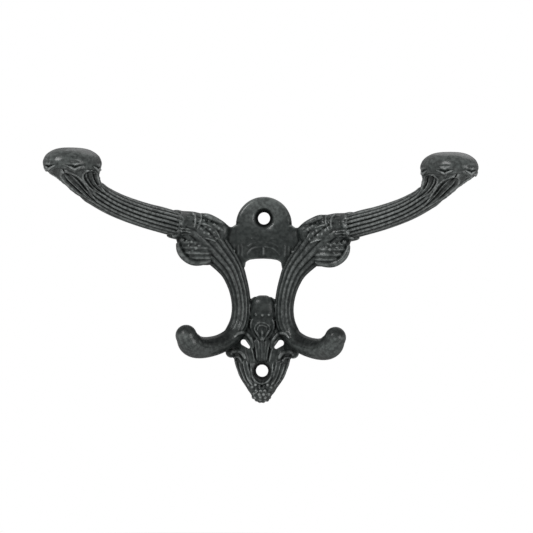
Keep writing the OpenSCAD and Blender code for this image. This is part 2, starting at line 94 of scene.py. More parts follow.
# pixels from the middle of the picture, to the right and up
MIDDLE_SEEN = (-2.98, -28.1)
ahead = Vector((-math.sin(TURN), math.cos(TURN), 0.0))
right = Vector((math.cos(TURN), math.sin(TURN), 0.0))
up = Vector((0.0, 0.0, 1.0))
eye = -DISTANCE * ahead - right * (MIDDLE_SEEN[0] * PIXEL) - up * (MIDDLE_SEEN[1] * PIXEL)
camera_data = bpy.data.cameras.new("camera")
camera_data.sensor_width = SENSOR
camera_data.lens = FOCAL_PIXELS / PICTURE * SENSOR
camera = added("camera", camera_data)
side_axis = math.cos(LEAN) * right + math.sin(LEAN) * up
top_axis = -math.sin(LEAN) * right + math.cos(LEAN) * up
pose = Matrix((side_axis, top_axis, -ahead)).transposed().to_4x4()
camera.matrix_world = Matrix.Translation(eye) @ pose
bpy.context.scene.camera = camera
print("lens", round(camera_data.lens, 1), "mm, eye at", rounded(eye, 3))

# %% [markdown]
# Black paint shows almost nothing but what it mirrors, so the lamps are large and soft,
# as panels round a photographer's table. One is above and to the left, a second lower on
# the right, one below stands for the light that a white table throws back, and a weak one
# behind draws the edges. Small hard lamps would have left white dots on every bead.

# %% Lamps
# place, width and power
LAMPS = {
    "key_panel": ((-0.55, -0.75, 0.62), 0.45, 10.0),
    "fill_panel": ((0.80, -0.70, 0.10), 0.50, 5.0),
    "table_glow": ((0.05, -0.45, -0.50), 0.55, 4.5),
    "edge_panel": ((0.20, 0.65, 0.75), 0.80, 3.0),
}
AIM = Vector((0.0, -0.02, 0.01))
for lamp_name, (place, width, power) in LAMPS.items():
    lamp_data = bpy.data.lights.new(lamp_name, "AREA")
    lamp_data.size = width
    lamp_data.energy = power
    lamp = added(lamp_name, lamp_data)
    look = (AIM - Vector(place)).to_track_quat("-Z", "Y").to_matrix().to_4x4()
    lamp.matrix_world = Matrix.Translation(place) @ look
bpy.context.scene.view_settings.view_transform = "Standard"
print("lamps:", ", ".join(LAMPS))

# %% [markdown]
# Shader maths reads better as sums than as boxes and wires. A Value wraps one output of
# a node, and adding or multiplying values adds the Math nodes. Every other node comes
# from one method of Finish, which takes the node's type, its settings and its inputs.
# Most masks of the paint are a slope between none and one, so Finish has two for that.


# %% Shader expressions
# the Mix node's two colours among its inputs, and its colour among its outputs
MIX_START, MIX_END, MIX_COLOR = 6, 7, 2


class Value:
    def __init__(self, finish, socket):
        self.finish = finish
        self.socket = socket

    def math(self, operation, *values):
        settings = {"operation": operation}
        return self.finish.node("ShaderNodeMath", settings, dict(enumerate(values)))

    def __add__(self, other):
        return self.math("ADD", self, other)

    def __radd__(self, other):
        return self.math("ADD", other, self)

    def __sub__(self, other):
        return self.math("SUBTRACT", self, other)

    def __rsub__(self, other):
        return self.math("SUBTRACT", other, self)

    def __mul__(self, other):
        return self.math("MULTIPLY", self, other)

    def __rmul__(self, other):
        return self.math("MULTIPLY", other, self)

    def larger(self, other):
        return self.math("MAXIMUM", self, other)

    def smaller(self, other):
        return self.math("MINIMUM", self, other)


class Finish:
    def __init__(self, holder):
        holder.use_nodes = True
        self.tree = holder.node_tree
        self.tree.nodes.clear()

    def node(self, kind, settings=None, inputs=None, output=0):
        made = self.tree.nodes.new(kind)
        for name, setting in (settings or {}).items():
            setattr(made, name, setting)
        for name, value in (inputs or {}).items():
            if isinstance(value, Value):
                self.tree.links.new(value.socket, made.inputs[name])
            else:
                made.inputs[name].default_value = value
        return Value(self, made.outputs[output]) if len(made.outputs) else None

    def mixed(self, share, start, end):
        inputs = {"Factor": share, MIX_START: start, MIX_END: end}
        return self.node("ShaderNodeMix", {"data_type": "RGBA"}, inputs, output=MIX_COLOR)

    def vector(self, operation, first, second, output=0):
        return self.node("ShaderNodeVectorMath", {"operation": operation}, {0: first, 1: second}, output)

    def dot(self, first, second):
        return self.vector("DOT_PRODUCT", first, second, output=1)

    def distance(self, first, second):
        return self.vector("DISTANCE", first, second, output=1)

    def clamped(self, value):
        return value.larger(0.0).smaller(1.0)

    def rising(self, value, start, gain):
        """None up to the start, then more with the value, up to one."""
        return self.clamped((value - start) * gain)

    def falling(self, value, end, gain):
        """One well below the end, less with the value, and none from the end on."""
        return self.clamped((end - value) * gain)


print("shader expressions ready")

# %% [markdown]
# The world is white to the camera and in reflections, so the photograph's white ground
# shows behind the hook and in its gloss, while the light that it throws stays dim. A disc
# of pale paper far below the hook does the same and keeps its shadow. Both ask the Light
# Path node what kind of ray has reached them; brighter lamps would have bleached the iron.


# %% World and floor
def seen_directly(finish):
    outputs = finish.node("ShaderNodeLightPath").socket.node.outputs
    camera_ray = Value(finish, outputs["Is Camera Ray"])
    glossy_ray = Value(finish, outputs["Is Glossy Ray"])
    glass_ray = Value(finish, outputs["Is Transmission Ray"])
    return finish.clamped(camera_ray + glossy_ray + glass_ray)


WHITE, PAPER = (1, 1, 1, 1), (0.9, 0.9, 0.9, 1)
ROOM_LIGHT, PAPER_GLOW = 0.45, 0.7
world = bpy.data.worlds.new("pale_room")
bpy.context.scene.world = world
room = Finish(world)
dim = room.node("ShaderNodeBackground", inputs={"Color": WHITE, "Strength": ROOM_LIGHT})
bright = room.node("ShaderNodeBackground", inputs={"Color": WHITE, "Strength": 1.0})
walls = room.node("ShaderNodeMixShader", inputs={0: seen_directly(room), 1: dim, 2: bright})
room.node("ShaderNodeOutputWorld", inputs={"Surface": walls})

FLOOR_Z = -0.14
FLOOR_RADIUS = 0.30
floor_mesh = bpy.data.meshes.new("floor")
disc = bmesh.new()
bmesh.ops.create_circle(disc, cap_ends=True, segments=96, radius=FLOOR_RADIUS)
bmesh.ops.translate(disc, verts=disc.verts, vec=(0, 0, FLOOR_Z))
disc.to_mesh(floor_mesh)
disc.free()
floor = added("floor", floor_mesh)
paper = bpy.data.materials.new("pale_paper")
sheet = Finish(paper)
lit = sheet.node("ShaderNodeBsdfDiffuse", inputs={"Color": PAPER})
glow = sheet.node("ShaderNodeEmission", inputs={"Color": WHITE, "Strength": 1.0})
paper_seen = seen_directly(sheet) * PAPER_GLOW
blend = sheet.node("ShaderNodeMixShader", inputs={0: paper_seen, 1: lit, 2: glow})
sheet.node("ShaderNodeOutputMaterial", inputs={"Surface": blend})
floor_mesh.materials.append(paper)
floor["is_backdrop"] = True
print("floor at", FLOOR_Z, "m")

# %% [markdown]
# The real hook is one sand casting, dipped or sprayed with black paint. The sand leaves a
# fine grain, and the coat is thicker in one spot than in the next. Three noises make that:
# a fine one for the grain, a middle one for blotches and a wide one for clouds. All of
# them read Object coordinates, so they stay on the iron from every side.

# %% Grain, blotches and clouds
iron = bpy.data.materials.new("black_painted_iron")
coat = Finish(iron)
spots = coat.node("ShaderNodeTexCoord", output="Object")
turned = coat.node("ShaderNodeTexCoord", output="Normal")


def noise(scale, detail):
    return coat.node("ShaderNodeTexNoise", inputs={"Vector": spots, "Scale": scale, "Detail": detail})


grain = noise(900.0, 4.0)
blotch = noise(620.0, 3.0)
cloud = noise(70.0, 5.0)
mottle = coat.rising(blotch, 0.4, 4.6)
patchy = coat.rising(cloud, 0.32, 3.0)
print("noises made: grain, blotches and clouds")

# %% [markdown]
# Wet paint runs thin on the crests of the carving and years of hands rub them brighter
# still, and the crests also get a painted highlight; the grooves beside them get painted
# shade. A noise can't know where a crest is, so each point of the finished meshes carries
# a number named relief, which the cells below work out: how far it stands proud of its
# smoothed surroundings. Here it becomes two masks.

# %% Worn edges with a painted highlight, and painted shade in grooves
EDGE_FROM, EDGE_GAIN = 0.05, 7.0
HOLLOW_FROM, HOLLOW_GAIN = -0.03, 6.0
relief = coat.node("ShaderNodeAttribute", {"attribute_name": "relief"}, output="Fac")
# crests: worn towards bare grey, and given a painted highlight as well
edge = coat.rising(relief, EDGE_FROM, EDGE_GAIN)
# grooves: painted shade
hollow = coat.falling(relief, HOLLOW_FROM, HOLLOW_GAIN)
print("relief masks made: edge and hollow")

# %% [markdown]
# Coats and fingers reach some parts and never others. The forms that stand far from the
# wall and the leaf are handled and shine, and the upper ear gets a painted sheen. Painted
# shade darkens the cups of the screws, the crooks of the hooks and the sides, and the caps
# are made a little darker and duller. The masks are measured in metres from the part's own
# places, and by the way a face turns.

# %% Handled parts, painted sheen and painted shade
HOLE_UP, CUP_REACH, CUP_GAIN = 0.035, 0.0049, 900.0
# the ear's painted sheen: height of its middle, its reach, its gain and its strength
EAR_SHEEN_UP, EAR_SHEEN_REACH, EAR_SHEEN_GAIN, EAR_SHEEN = 0.0405, 0.0135, 130.0, 0.85
FLAT, TO_VIEWER, SIDEWAYS = (1, 0, 1), (0, -1, 0), (1, 0, 0)
UPWARD, DOWNWARD = (0, 0, 1), (0, 0, -1)
flat_place = coat.vector("MULTIPLY", spots, FLAT)
# painted shade in the cups of the two screws
cup_top = coat.distance(flat_place, (0, 0, HOLE_UP))
cup_low = coat.distance(flat_place, (0, 0, -HOLE_UP))
cups = coat.falling(cup_top.smaller(cup_low), CUP_REACH, CUP_GAIN)
# a painted sheen over the upper part of the ear
ear_top = coat.distance(flat_place, (0, 0, EAR_SHEEN_UP))
ear_sheen = coat.falling(ear_top, EAR_SHEEN_REACH, EAR_SHEEN_GAIN) * EAR_SHEEN

# painted shade on faces that turn to the side; less of it on faces that turn to the wall
LIGHT_WAY = (0.0, -0.99, 0.1)
SIDE_FROM, SIDE_GAIN, BACK_FROM, BACK_GAIN, SIDE_SHADE = 0.72, 1.7, -0.2045, 2.2, 0.85
facing = coat.dot(turned, LIGHT_WAY)
sides = coat.falling(facing, SIDE_FROM, SIDE_GAIN) * coat.rising(facing, BACK_FROM, BACK_GAIN)
sides = sides * SIDE_SHADE

HOOK_BELOW, HOOK_BELOW_GAIN, HOOK_FROM, HOOK_FROM_GAIN = 0.008, 250.0, 0.0125, 350.0
CROOK_FROM, CROOK_GAIN, CROOK_SHADE = -0.1, 2.2, 0.72
down = coat.dot(spots, DOWNWARD)
across = coat.dot(spots, SIDEWAYS)
hooks = coat.rising(down, HOOK_BELOW, HOOK_BELOW_GAIN) \
    * coat.rising(across.math("ABSOLUTE", across), HOOK_FROM, HOOK_FROM_GAIN)
# painted shade on the upward faces of the lower hooks
crooks = coat.rising(coat.dot(turned, UPWARD), CROOK_FROM, CROOK_GAIN) * hooks * CROOK_SHADE

CAP_OUT, CAP_GAIN, CAP_DARKENING = 0.045, 100.0, 0.2
LEAF_BELOW, LEAF_GAIN, LEAF_RUB = 0.024, 120.0, 0.5
HELD_OUT, HELD_GAIN, HELD_LEAST = 0.006, 70.0, 0.32
outness = coat.dot(spots, TO_VIEWER)
# the caps and the arm ends under them are made a little darker and duller
cap_darkening = coat.rising(outness, CAP_OUT, CAP_GAIN) * CAP_DARKENING
leaf_rub = coat.rising(down, LEAF_BELOW, LEAF_GAIN) * LEAF_RUB
# painted shade in grooves, cups, crooks and on the sides, with the darker caps
painted_shade_and_dull = hollow.larger(sides).larger(cups).larger(crooks).larger(cap_darkening)
# handled forms, with the ear's painted sheen
held_and_sheen = coat.rising(outness, HELD_OUT, HELD_GAIN).larger(ear_sheen.larger(leaf_rub))
handling_and_sheen = HELD_LEAST + held_and_sheen * (1 - HELD_LEAST)
print("masks made: kept and handled")

# %% [markdown]
# The finish is a dark grey-green coat. Noise mixes its dark and pale tones, most where the
# iron is handled, and the upper ear gets a painted sheen; worn edges, which also carry a
# painted highlight, go towards bare grey, while painted shade and the darker caps go
# towards black. The gloss is a thin clear layer over a rougher base, as polish by hands is,
# because a base that mirrors by itself would have turned the whole hook pale at its edges.

# %% Painted iron
PAINT_DARK, PAINT_PALE = (0.006, 0.008, 0.0076, 1), (0.062, 0.07, 0.067, 1)
# bare grey of worn crests, which also stands for a painted highlight; near black for painted shade
RUBBED_AND_HIGHLIGHT, PAINTED_SHADE_BLACK = (0.24, 0.255, 0.25, 1), (0.002, 0.0025, 0.0025, 1)
BUMP_STRENGTH, BUMP_DEPTH = 0.6, 0.0004
CLEAR_LAYER, CLEAR_ROUGH, BASE_MIRROR = 0.5, 0.2, 0.08
# the ear's painted sheen adds to the paler tone
pale = (mottle * 0.65 + patchy * 0.35 + ear_sheen * 0.2) * handling_and_sheen
# worn crests, with a painted highlight on them too
wear_and_highlight = edge * (0.2 + mottle * 0.5 + patchy * 0.3) * (0.35 + handling_and_sheen * 0.65)
# painted shade takes the tone towards near black
tone = coat.mixed(painted_shade_and_dull, coat.mixed(wear_and_highlight, coat.mixed(pale, PAINT_DARK, PAINT_PALE), RUBBED_AND_HIGHLIGHT), PAINTED_SHADE_BLACK)
rough = 0.42 + cloud * 0.1 + grain * 0.08 + painted_shade_and_dull * 0.35 - edge * 0.1
bumps = coat.node("ShaderNodeBump", inputs={
    "Strength": BUMP_STRENGTH, "Distance": BUMP_DEPTH, "Height": grain * 0.5 + blotch * 0.8})
surface_look = coat.node("ShaderNodeBsdfPrincipled", inputs={
    "Base Color": tone, "Roughness": rough, "Normal": bumps, "Metallic": 0.0,
    "Coat Weight": CLEAR_LAYER * handling_and_sheen * (1.0 - painted_shade_and_dull), "Coat Roughness": CLEAR_ROUGH,
    "Specular IOR Level": BASE_MIRROR})
coat.node("ShaderNodeOutputMaterial", inputs={"Surface": surface_look})
print("finish made:", iron.name)

# %% [markdown]
# A pattern maker shapes a swelling form by a few cross sections and lets a smooth curve
# run through them. A table gives the sections here, one row each, and the curve between
# them is a spline that passes through every row, so the rows can be read as real sizes.

# %% Smooth rows
def between(a, b, c, d, t):
    """The curve from row b to row c, which also looks at the rows before and after them."""
    return tuple((2 * q + (r - p) * t + (2 * p - 5 * q + 4 * r - s) * t * t
                  + (3 * q - p - 3 * r + s) * t ** 3) / 2 for p, q, r, s in zip(a, b, c, d))


def row_at(rows, share):
    last = len(rows) - 1
    place = min(max(share, 0.0), 1.0) * last
    i = min(int(place), last - 1)
    return between(rows[max(i - 1, 0)], rows[i], rows[i + 1], rows[min(i + 2, last)], place - i)


def outline_at(points, t):
    """A smooth closed curve through the corners of an outline."""
    n = len(points)
    place = (t % 1.0) * n
    i = int(place) % n
    around_it = (points[(i + k) % n] for k in (-1, 0, 1, 2))
    return between(*around_it, place - int(place))


print("a quarter of the way through 0, 1, 4 is", row_at([(0,), (1,), (4,)], 0.25))

# %% [markdown]
# Every swelling form of the hook is a skin rolled round a path: a flat grid whose one
# direction goes round the form and whose other goes along it. The grid comes from one
# operator, each of its points is moved to its place, the seam is merged and the ends are
# closed. The left half of the hook mirrors the right half, so a skin can be turned over.

# %% Rolled skins
SAME_PLACE = 2e-6


def rolled(around, along, place, stop_at_wall=True):
    """A closed skin; place(t, s) gives a point in mm at t round the form and s along it."""
    bm = bmesh.new()
    bmesh.ops.create_grid(bm, x_segments=around, y_segments=along, size=0.5)
    for v in bm.verts:
        point = Vector(place(v.co.x + 0.5, v.co.y + 0.5))
        if stop_at_wall:
            point.y = min(point.y, 0.0)
        v.co = point * MM
    bmesh.ops.remove_doubles(bm, verts=bm.verts, dist=SAME_PLACE)
    bmesh.ops.holes_fill(bm, edges=[e for e in bm.edges if e.is_boundary])
    bmesh.ops.recalc_face_normals(bm, faces=bm.faces)
    if bm.calc_volume(signed=True) < 0:
        bmesh.ops.reverse_faces(bm, faces=bm.faces)
    return bm


def turned_over(bm):
    """A mirrored copy of a skin, left to right."""
    other = bm.copy()
    bmesh.ops.scale(other, vec=(-1, 1, 1), verts=other.verts)
    bmesh.ops.reverse_faces(other, faces=other.faces)
    return other


def merged(skins):
    """Several skins in one bmesh, which a mesh carries over."""
    whole = bmesh.new()
    for bm in skins:
        carrier = bpy.data.meshes.new("carrier")
        bm.to_mesh(carrier)
        whole.from_mesh(carrier)
        bpy.data.meshes.remove(carrier)
    return whole


def finished(mesh):
    """Smooth shading and the iron's finish."""
    for face in mesh.polygons:
        face.use_smooth = True
    mesh.materials.clear()
    mesh.materials.append(iron)


def joined(name, skins):
    """One object of several skins, which are used up."""
    mesh = bpy.data.meshes.new(name)
    whole = merged(skins)
    whole.to_mesh(mesh)
    for bm in [whole] + skins:
        bm.free()
    finished(mesh)
    print(name, "has", len(mesh.polygons), "faces")
    return added(name, mesh)


print("skins can be rolled, turned over and joined")

# %% [markdown]
# The paint asks for the relief of every point. It is measured the way a finger feels it:
# the mesh is smoothed until the carving is gone, and what each point has lost along its
# normal is how proud it stood. Reading it from a bump picture would have needed one.

# %% Relief
RELIEF_STEPS = 24
MARKS = (0.01, 0.05, 0.25, 0.5, 0.75, 0.95, 0.99)


def relief_of(mesh):
    """Where each point is, and how proud it stands of its smoothed surroundings, in mm."""
    bm = bmesh.new()
    bm.from_mesh(mesh)
    bm.normal_update()
    before = [(v.co.copy(), v.normal.copy()) for v in bm.verts]
    for _ in range(RELIEF_STEPS):
        bmesh.ops.smooth_vert(bm, verts=bm.verts, factor=0.5,
                              use_axis_x=True, use_axis_y=True, use_axis_z=True)
    proud = [(place - v.co).dot(normal) / MM for v, (place, normal) in zip(bm.verts, before)]
    bm.free()
    return [place for place, normal in before], proud


def keep_relief(piece, proud):
    """Store the relief with each point, for the paint to read."""
    stored = piece.data.attributes.new("relief", "FLOAT", "POINT")
    stored.data.foreach_set("value", proud)
    ranked = sorted(proud)
    print(piece.name, "relief in mm:", rounded((ranked[int(len(ranked) * share)] for share in MARKS), 3))


print("relief is measured over", RELIEF_STEPS, "smoothing steps")

# %% [markdown]
# An arm springs from the knuckle, runs out and forward, then turns up under its cap. It
# carries eighteen reeds, which die away in the neck where six hollow petals open under
# the cap. The skin follows the same rows as the solid part, but the reeds are round and
# the petals have rims and inner lines, which only a fine mesh can hold. V-shaped bands
# mark the places under the cap where two petals meet.

# %% Path of an arm
# sizes of the hook in millimetres, as the part has them
HALF_SPAN, REACH = 95.25, 70.0
HEIGHT, TOP = 114.3, 64.008
CAP_LENGTH, CAP_WIDTH, CAP_RISE = 28.4, 22.4, 8.0
ARM_HALF = 5.7
CAP_Z = TOP - CAP_RISE
KNUCKLE = Vector((38.1, -8.05))


def cap_for(way):
    """Where the cap's middle is, seen from above, for the cap to reach both full sizes."""
    return Vector((HALF_SPAN - math.hypot(CAP_LENGTH * way.x, CAP_WIDTH * way.y) / 2,
                   math.hypot(CAP_LENGTH * way.y, CAP_WIDTH * way.x) / 2 - REACH))


first_way = (Vector((HALF_SPAN, -REACH)) - KNUCKLE).normalized()
CAP = cap_for((cap_for(first_way) - KNUCKLE).normalized())
RUN = (CAP - KNUCKLE).length
WAY = (CAP - KNUCKLE).normalized()
ALONG_ARM, ACROSS_ARM = Vector((WAY.x, WAY.y, 0)), Vector((-WAY.y, WAY.x, 0))
print("cap at", rounded(CAP, 2), "run", round(RUN, 2))

# %% [markdown]
# The reeds are a wave round the bar, round on their crests and sharp in their grooves.
# Each petal is an arch: the skin dips inside it and rises in a rim along its border and
# in a vein to each side. A sum of humps draws those lines on the one skin, which a bar
# added for each line would have broken up into seams.

# %% Reeded arm and its petals
# run share, height share, pitch share, half height, half width, reeds, petals
ARM_ROWS = [
    (0.02, 0.275, 0.12, 1.02, 0.97, 1, 0), (0.18, 0.293, 0.14, 1.04, 0.96, 1, 0),
    (0.32, 0.307, 0.15, 1.01, 0.94, 1, 0), (0.48, 0.327, 0.18, 0.98, 0.93, 1, 0),
    (0.62, 0.349, 0.25, 0.96, 0.92, 1, 0), (0.75, 0.377, 0.42, 0.98, 0.95, 1, 0),
    (0.85, 0.407, 0.6, 1.1, 1.04, 0.8, 0.4), (0.92, 0.441, 0.78, 1.52, 1.28, 0.5, 1),
    (0.965, 0.466, 0.92, 2.06, 1.62, 0.3, 1), (0.99, 0.482, 1, 2.3, 1.78, 0, 0.6),
]
REEDS = 18
REED_DEPTH, PETAL_DEPTH = 0.85, 1.6
ROUND_CREST = 0.55


def reed(turns, t):
    """One on the crest of a reed and none in the groove beside it."""
    return abs(math.cos(math.pi * turns * t)) ** ROUND_CREST


def hump(off, width):
    """One in the middle of a raised line, and less beside it."""
    return math.exp(-(off / width) ** 2)


def ring_point(row, t, dip, reach=0.0):
    pitch = row[2] * math.pi / 2
    lengthways = Vector((WAY.x * math.sin(pitch), WAY.y * math.sin(pitch), -math.cos(pitch)))
    middle = Vector((KNUCKLE.x + WAY.x * row[0] * RUN, KNUCKLE.y + WAY.y * row[0] * RUN,
                     row[1] * HEIGHT))
    angle = -TAU * t
    return middle + lengthways * (row[3] * ARM_HALF - dip) * math.cos(angle) \
        + ACROSS_ARM * (row[4] * ARM_HALF - dip) * math.sin(angle) + ALONG_ARM * reach


# the petals start at a share of the arm; their other measures are shares of their own
PETALS = 6
PETAL_START, PETAL_BROAD, PETAL_TOP, PETAL_FILL = 0.56, 0.48, 0.78, 0.88
RIM_RAISE, RIM_WIDTH, VEIN_RAISE, VEIN_WIDTH, VEIN_AT = 0.75, 0.13, 0.45, 0.09, 0.45
LIP_WIDTH, LIP_SPREAD, PETAL_EASE = 0.06, 0.3, 2.5


def off_cusp(t):
    """None where two petals meet and one down the middle of a petal."""
    turn = (t * PETALS) % 1.0
    return min(turn, 1 - turn) * 2


def petal(t, s):
    """How deep the skin dips for the petals: arches with a rim and a vein to each side."""
    climb = (s - PETAL_START) / (1 - PETAL_START)
    if climb <= 0:
        return 0.0
    off = 1 - off_cusp(t)
    if climb < PETAL_BROAD:
        arch = PETAL_FILL * math.sin(math.pi / 2 * climb / PETAL_BROAD) ** 0.8
    else:
        closing = (climb - PETAL_BROAD) / (PETAL_TOP - PETAL_BROAD)
        arch = PETAL_FILL * math.sqrt(max(1 - closing ** 2, 0.0))
    inside = max(1 - (off / max(arch, 0.02)) ** 2, 0.0)
    rim, vein = hump(off - arch, RIM_WIDTH), hump(off - arch * VEIN_AT, VEIN_WIDTH)
    if climb > PETAL_TOP:
        rim, vein = hump(climb - PETAL_TOP, LIP_WIDTH) * hump(off, LIP_SPREAD), 0.0
    ease = min(climb * PETAL_EASE, 1.0)
    return ease * (PETAL_DEPTH * inside ** 0.5 - RIM_RAISE * rim - VEIN_RAISE * vein)


def arm_place(t, s):
    row = row_at(ARM_ROWS, s)
    dip = REED_DEPTH * max(row[5], 0.0) * (1 - reed(REEDS, t)) + petal(t, s)
    return ring_point(row, t, dip)


arm = rolled(REEDS * 10, 190, arm_place)
print("arm rolled:", REEDS, "reeds and", PETALS, "petals")

# %% [markdown]
# The cap is an oval dome, on the real hook smooth for the brim of a hat. Its lower edge
# hangs in a point over each place where two petals meet, and V-shaped bands are laid
# there. The dome and its points are one skin; the bands are thin bars bent into a V.

# %% Cap and its bands
# reach, height above the widest line, strength of the hanging points
CAP_ROWS = [
    (0.70, -1.5, 1.0), (0.86, -1.9, 1.0), (0.93, -1.75, 1.0), (0.965, -1.3, 0.97),
    (0.975, -0.7, 0.9), (0.985, -0.1, 0.75), (0.995, 0.5, 0.5), (1.0, 1.1, 0.3),
    (0.995, 1.9, 0.12), (0.97, 2.9, 0), (0.92, 4.2, 0), (0.84, 5.3, 0), (0.73, 6.3, 0),
    (0.58, 7.2, 0), (0.40, 7.75, 0), (0.2, 7.97, 0), (0.0, 8.0, 0),
]
LIP_POINT, LIP_TUCK, LIP_TOP = 1.4, 0.06, 0.5
# a moulding across the cusps: height, how far up and down it spreads, how far along, raise
MOULDINGS = [(-0.3, 0.5, 0.5, -0.5), (1.5, 0.5, 0.3, -0.35)]


def on_cap(t, reach, z):
    """A point of the cap's oval, at a share of its full reach."""
    angle = -TAU * t
    return Vector((CAP.x, CAP.y, z)) + ALONG_ARM * reach * CAP_LENGTH / 2 * math.cos(angle) \
        + ACROSS_ARM * reach * CAP_WIDTH / 2 * math.sin(angle)


def cap_place(t, s):
    reach, rise, hang = row_at(CAP_ROWS, s)
    point = max(hang, 0.0) * (1 - abs(math.sin(PETALS * math.pi * t)) ** 0.7)
    reach = max(reach, 0.0) - LIP_TUCK * point * (rise < LIP_TOP)
    for level_at, spread, along, height in MOULDINGS:
        near = hump(rise - level_at, spread) * hump(off_cusp(t), along)
        reach += height * near / (CAP_WIDTH / 2)
    return on_cap(t, min(reach, 1.0), min(CAP_Z + rise, TOP) - LIP_POINT * point)


# half a band's turn round the cap, its lowest point, how far it climbs, how thick it is
BANDS = [(0.05, -2.1, 1.7, 1.15), (0.026, 0.1, 0.9, 1.0)]
BAND_REACH, BAND_BEND, BAND_END = 0.965, 0.8, 0.04


def cusp_band(cusp, half_turn, low, climb, thickness):
    """A V-shaped band that lies on a cap where two petals meet."""
    def place(t, s):
        off = (s * 2 - 1) * half_turn
        turn = cusp / PETALS + off
        outward = ALONG_ARM * math.cos(-TAU * turn) + ACROSS_ARM * math.sin(-TAU * turn)
        middle = on_cap(turn, BAND_REACH, CAP_Z + low + climb * (abs(off) / half_turn) ** BAND_BEND)
        half = thickness / 2 * math.sin(math.pi * min(max(s, BAND_END), 1 - BAND_END)) ** 0.5
        upward = Vector((0, 0, half * math.sin(TAU * t)))
        return middle + outward * half * math.cos(TAU * t) + upward
    return rolled(10, 28, place)


arm_parts = [arm, rolled(240, 90, cap_place)]
arm_parts += [cusp_band(cusp, *band) for cusp in range(PETALS) for band in BANDS]
arm_parts_over = [turned_over(part) for part in arm_parts]
arm_right = joined("arm_right", arm_parts)
arm_left = joined("arm_left", arm_parts_over)
for piece in (arm_right, arm_left):
    keep_relief(piece, relief_of(piece.data)[1])

# %% [markdown]
# A stem is an upright oval bar with grooves down its length. It leans out from the leaf,
# swells as it climbs and turns into the knuckle. Its lower end bends forward as a smooth
# round rod with a ball. Both are rolled skins whose rings stand square to their path.

# %% Stems and lower hooks
# across, up, width, middle out, front out, grooves (shares of half span, height, width, depth)
STEM_ROWS = [
    (0.175, -0.19, 0.8, 0.88, 0.42, 0), (0.135, -0.152, 0.98, 0.66, 0.52, 0.3),
    (0.11, -0.108, 1.04, 0.48, 0.54, 0.6), (0.103, -0.055, 1.03, 0.42, 0.56, 0.7),
    (0.11, 0.0, 1.06, 0.4, 0.58, 0.8), (0.127, 0.052, 1.15, 0.42, 0.6, 0.9),
    (0.155, 0.105, 1.34, 0.44, 0.68, 1), (0.205, 0.158, 1.62, 0.5, 0.74, 1),
    (0.266, 0.212, 2.0, 0.62, 0.82, 1), (0.33, 0.256, 1.9, 0.8, 0.88, 0.8),
    (0.39, 0.272, 1.4, 0.98, 0.7, 0),
]
STEM_WIDTH, STEM_DEPTH, STEM_GROOVE, STEM_REEDS = 8.6, 8.2, 0.95, 14


def rows_beside(rows, s):
    """The rows just after and just before a place, which show the way of the path."""
    return row_at(rows, min(s + 0.01, 1)), row_at(rows, max(s - 0.01, 0))


def stem_place(t, s):
    row = row_at(STEM_ROWS, s)
    after, before = rows_beside(STEM_ROWS, s)
    step = Vector(((after[0] - before[0]) * HALF_SPAN, (after[1] - before[1]) * HEIGHT))
    step.normalize()
    angle = TAU * t
    dip = STEM_GROOVE * max(row[5], 0) * (1 - reed(STEM_REEDS, t))
    wide = row[2] * STEM_WIDTH / 2 - dip
    deep = row[4] * STEM_DEPTH - dip
    return Vector((row[0] * HALF_SPAN + step.y * wide * math.cos(angle),
                   -row[3] * STEM_DEPTH - deep * math.sin(angle),
                   row[1] * HEIGHT - step.x * wide * math.cos(angle)))


THINNEST = 0.05


def bar(rows, around, along):
    """A round bar through rows of across, out, up and thickness in mm."""
    def place(t, s):
        row = row_at(rows, s)
        after, before = rows_beside(rows, s)
        step = Vector(after[:3]) - Vector(before[:3])
        flat = step.cross(Vector((0, 1, 0))).normalized()
        over = flat.cross(step.normalized())
        angle = TAU * t
        half = max(row[3], THINNEST) / 2
        return Vector(row[:3]) + (flat * math.cos(angle) + over * math.sin(angle)) * half
    return rolled(around, along, place)


ROD, BALL = 8.6, 9.7
BALL_AT = (0.353 * HALF_SPAN, -0.36 * REACH, -0.163 * HEIGHT)
# across, out, up and thickness
HOOK_ROWS = [(a * HALF_SPAN, -b * REACH, c * HEIGHT, d * ROD) for a, b, c, d in [
    (0.105, 0.05, -0.085, 0.5), (0.121, 0.07, -0.137, 0.84), (0.155, 0.1, -0.174, 0.96),
    (0.203, 0.156, -0.199, 1.02), (0.262, 0.236, -0.211, 1.1), (0.308, 0.3, -0.208, 1.21),
    (0.335, 0.342, -0.192, 1.26), (0.3525, 0.359, -0.165, 1.1)]]


def ball(place, diameter, segments=32):
    bm = bmesh.new()
    radius = diameter / 2 * MM
    bmesh.ops.create_uvsphere(bm, u_segments=segments, v_segments=segments // 2, radius=radius)
    bmesh.ops.translate(bm, verts=bm.verts, vec=Vector(place) * MM)
    return bm


body_skins = []


def both(bm):
    """Keep a skin for the body, and its mirror image."""
    body_skins.extend((turned_over(bm), bm))


both(rolled(STEM_REEDS * 8, 160, stem_place))
both(bar(HOOK_ROWS, 48, 90))
both(ball(BALL_AT, BALL))
print("stems and hooks rolled")

# %% [markdown]
# The knuckle joins four things: the sleeve that the arm grows from, with leaf points
# round its end, a folded shoulder towards the ear, a rolled leaf that hangs below with
# ribs across it, and the swelling head of the stem. The sleeve is a skin round the arm's
# path. The others are swellings of a flat casting, so each is an outline that rises to a
# crown, or a stack of level rings, which is how a carver would block them out.

# %% Forms of the knuckle
# run share, height share, pitch share, half height, half width, as for the arm
SLEEVE_ROWS = [
    (-0.17, 0.255, 0.04, 1.0, 0.84), (-0.1, 0.263, 0.08, 1.13, 0.96), (-0.02, 0.271, 0.11, 1.17, 1.02),
    (0.05, 0.278, 0.12, 1.17, 1.07), (0.062, 0.28, 0.13, 1.04, 0.96),
]
COLLAR_POINTS, COLLAR_REACH, COLLAR_FROM = 10, 1.8, 0.55


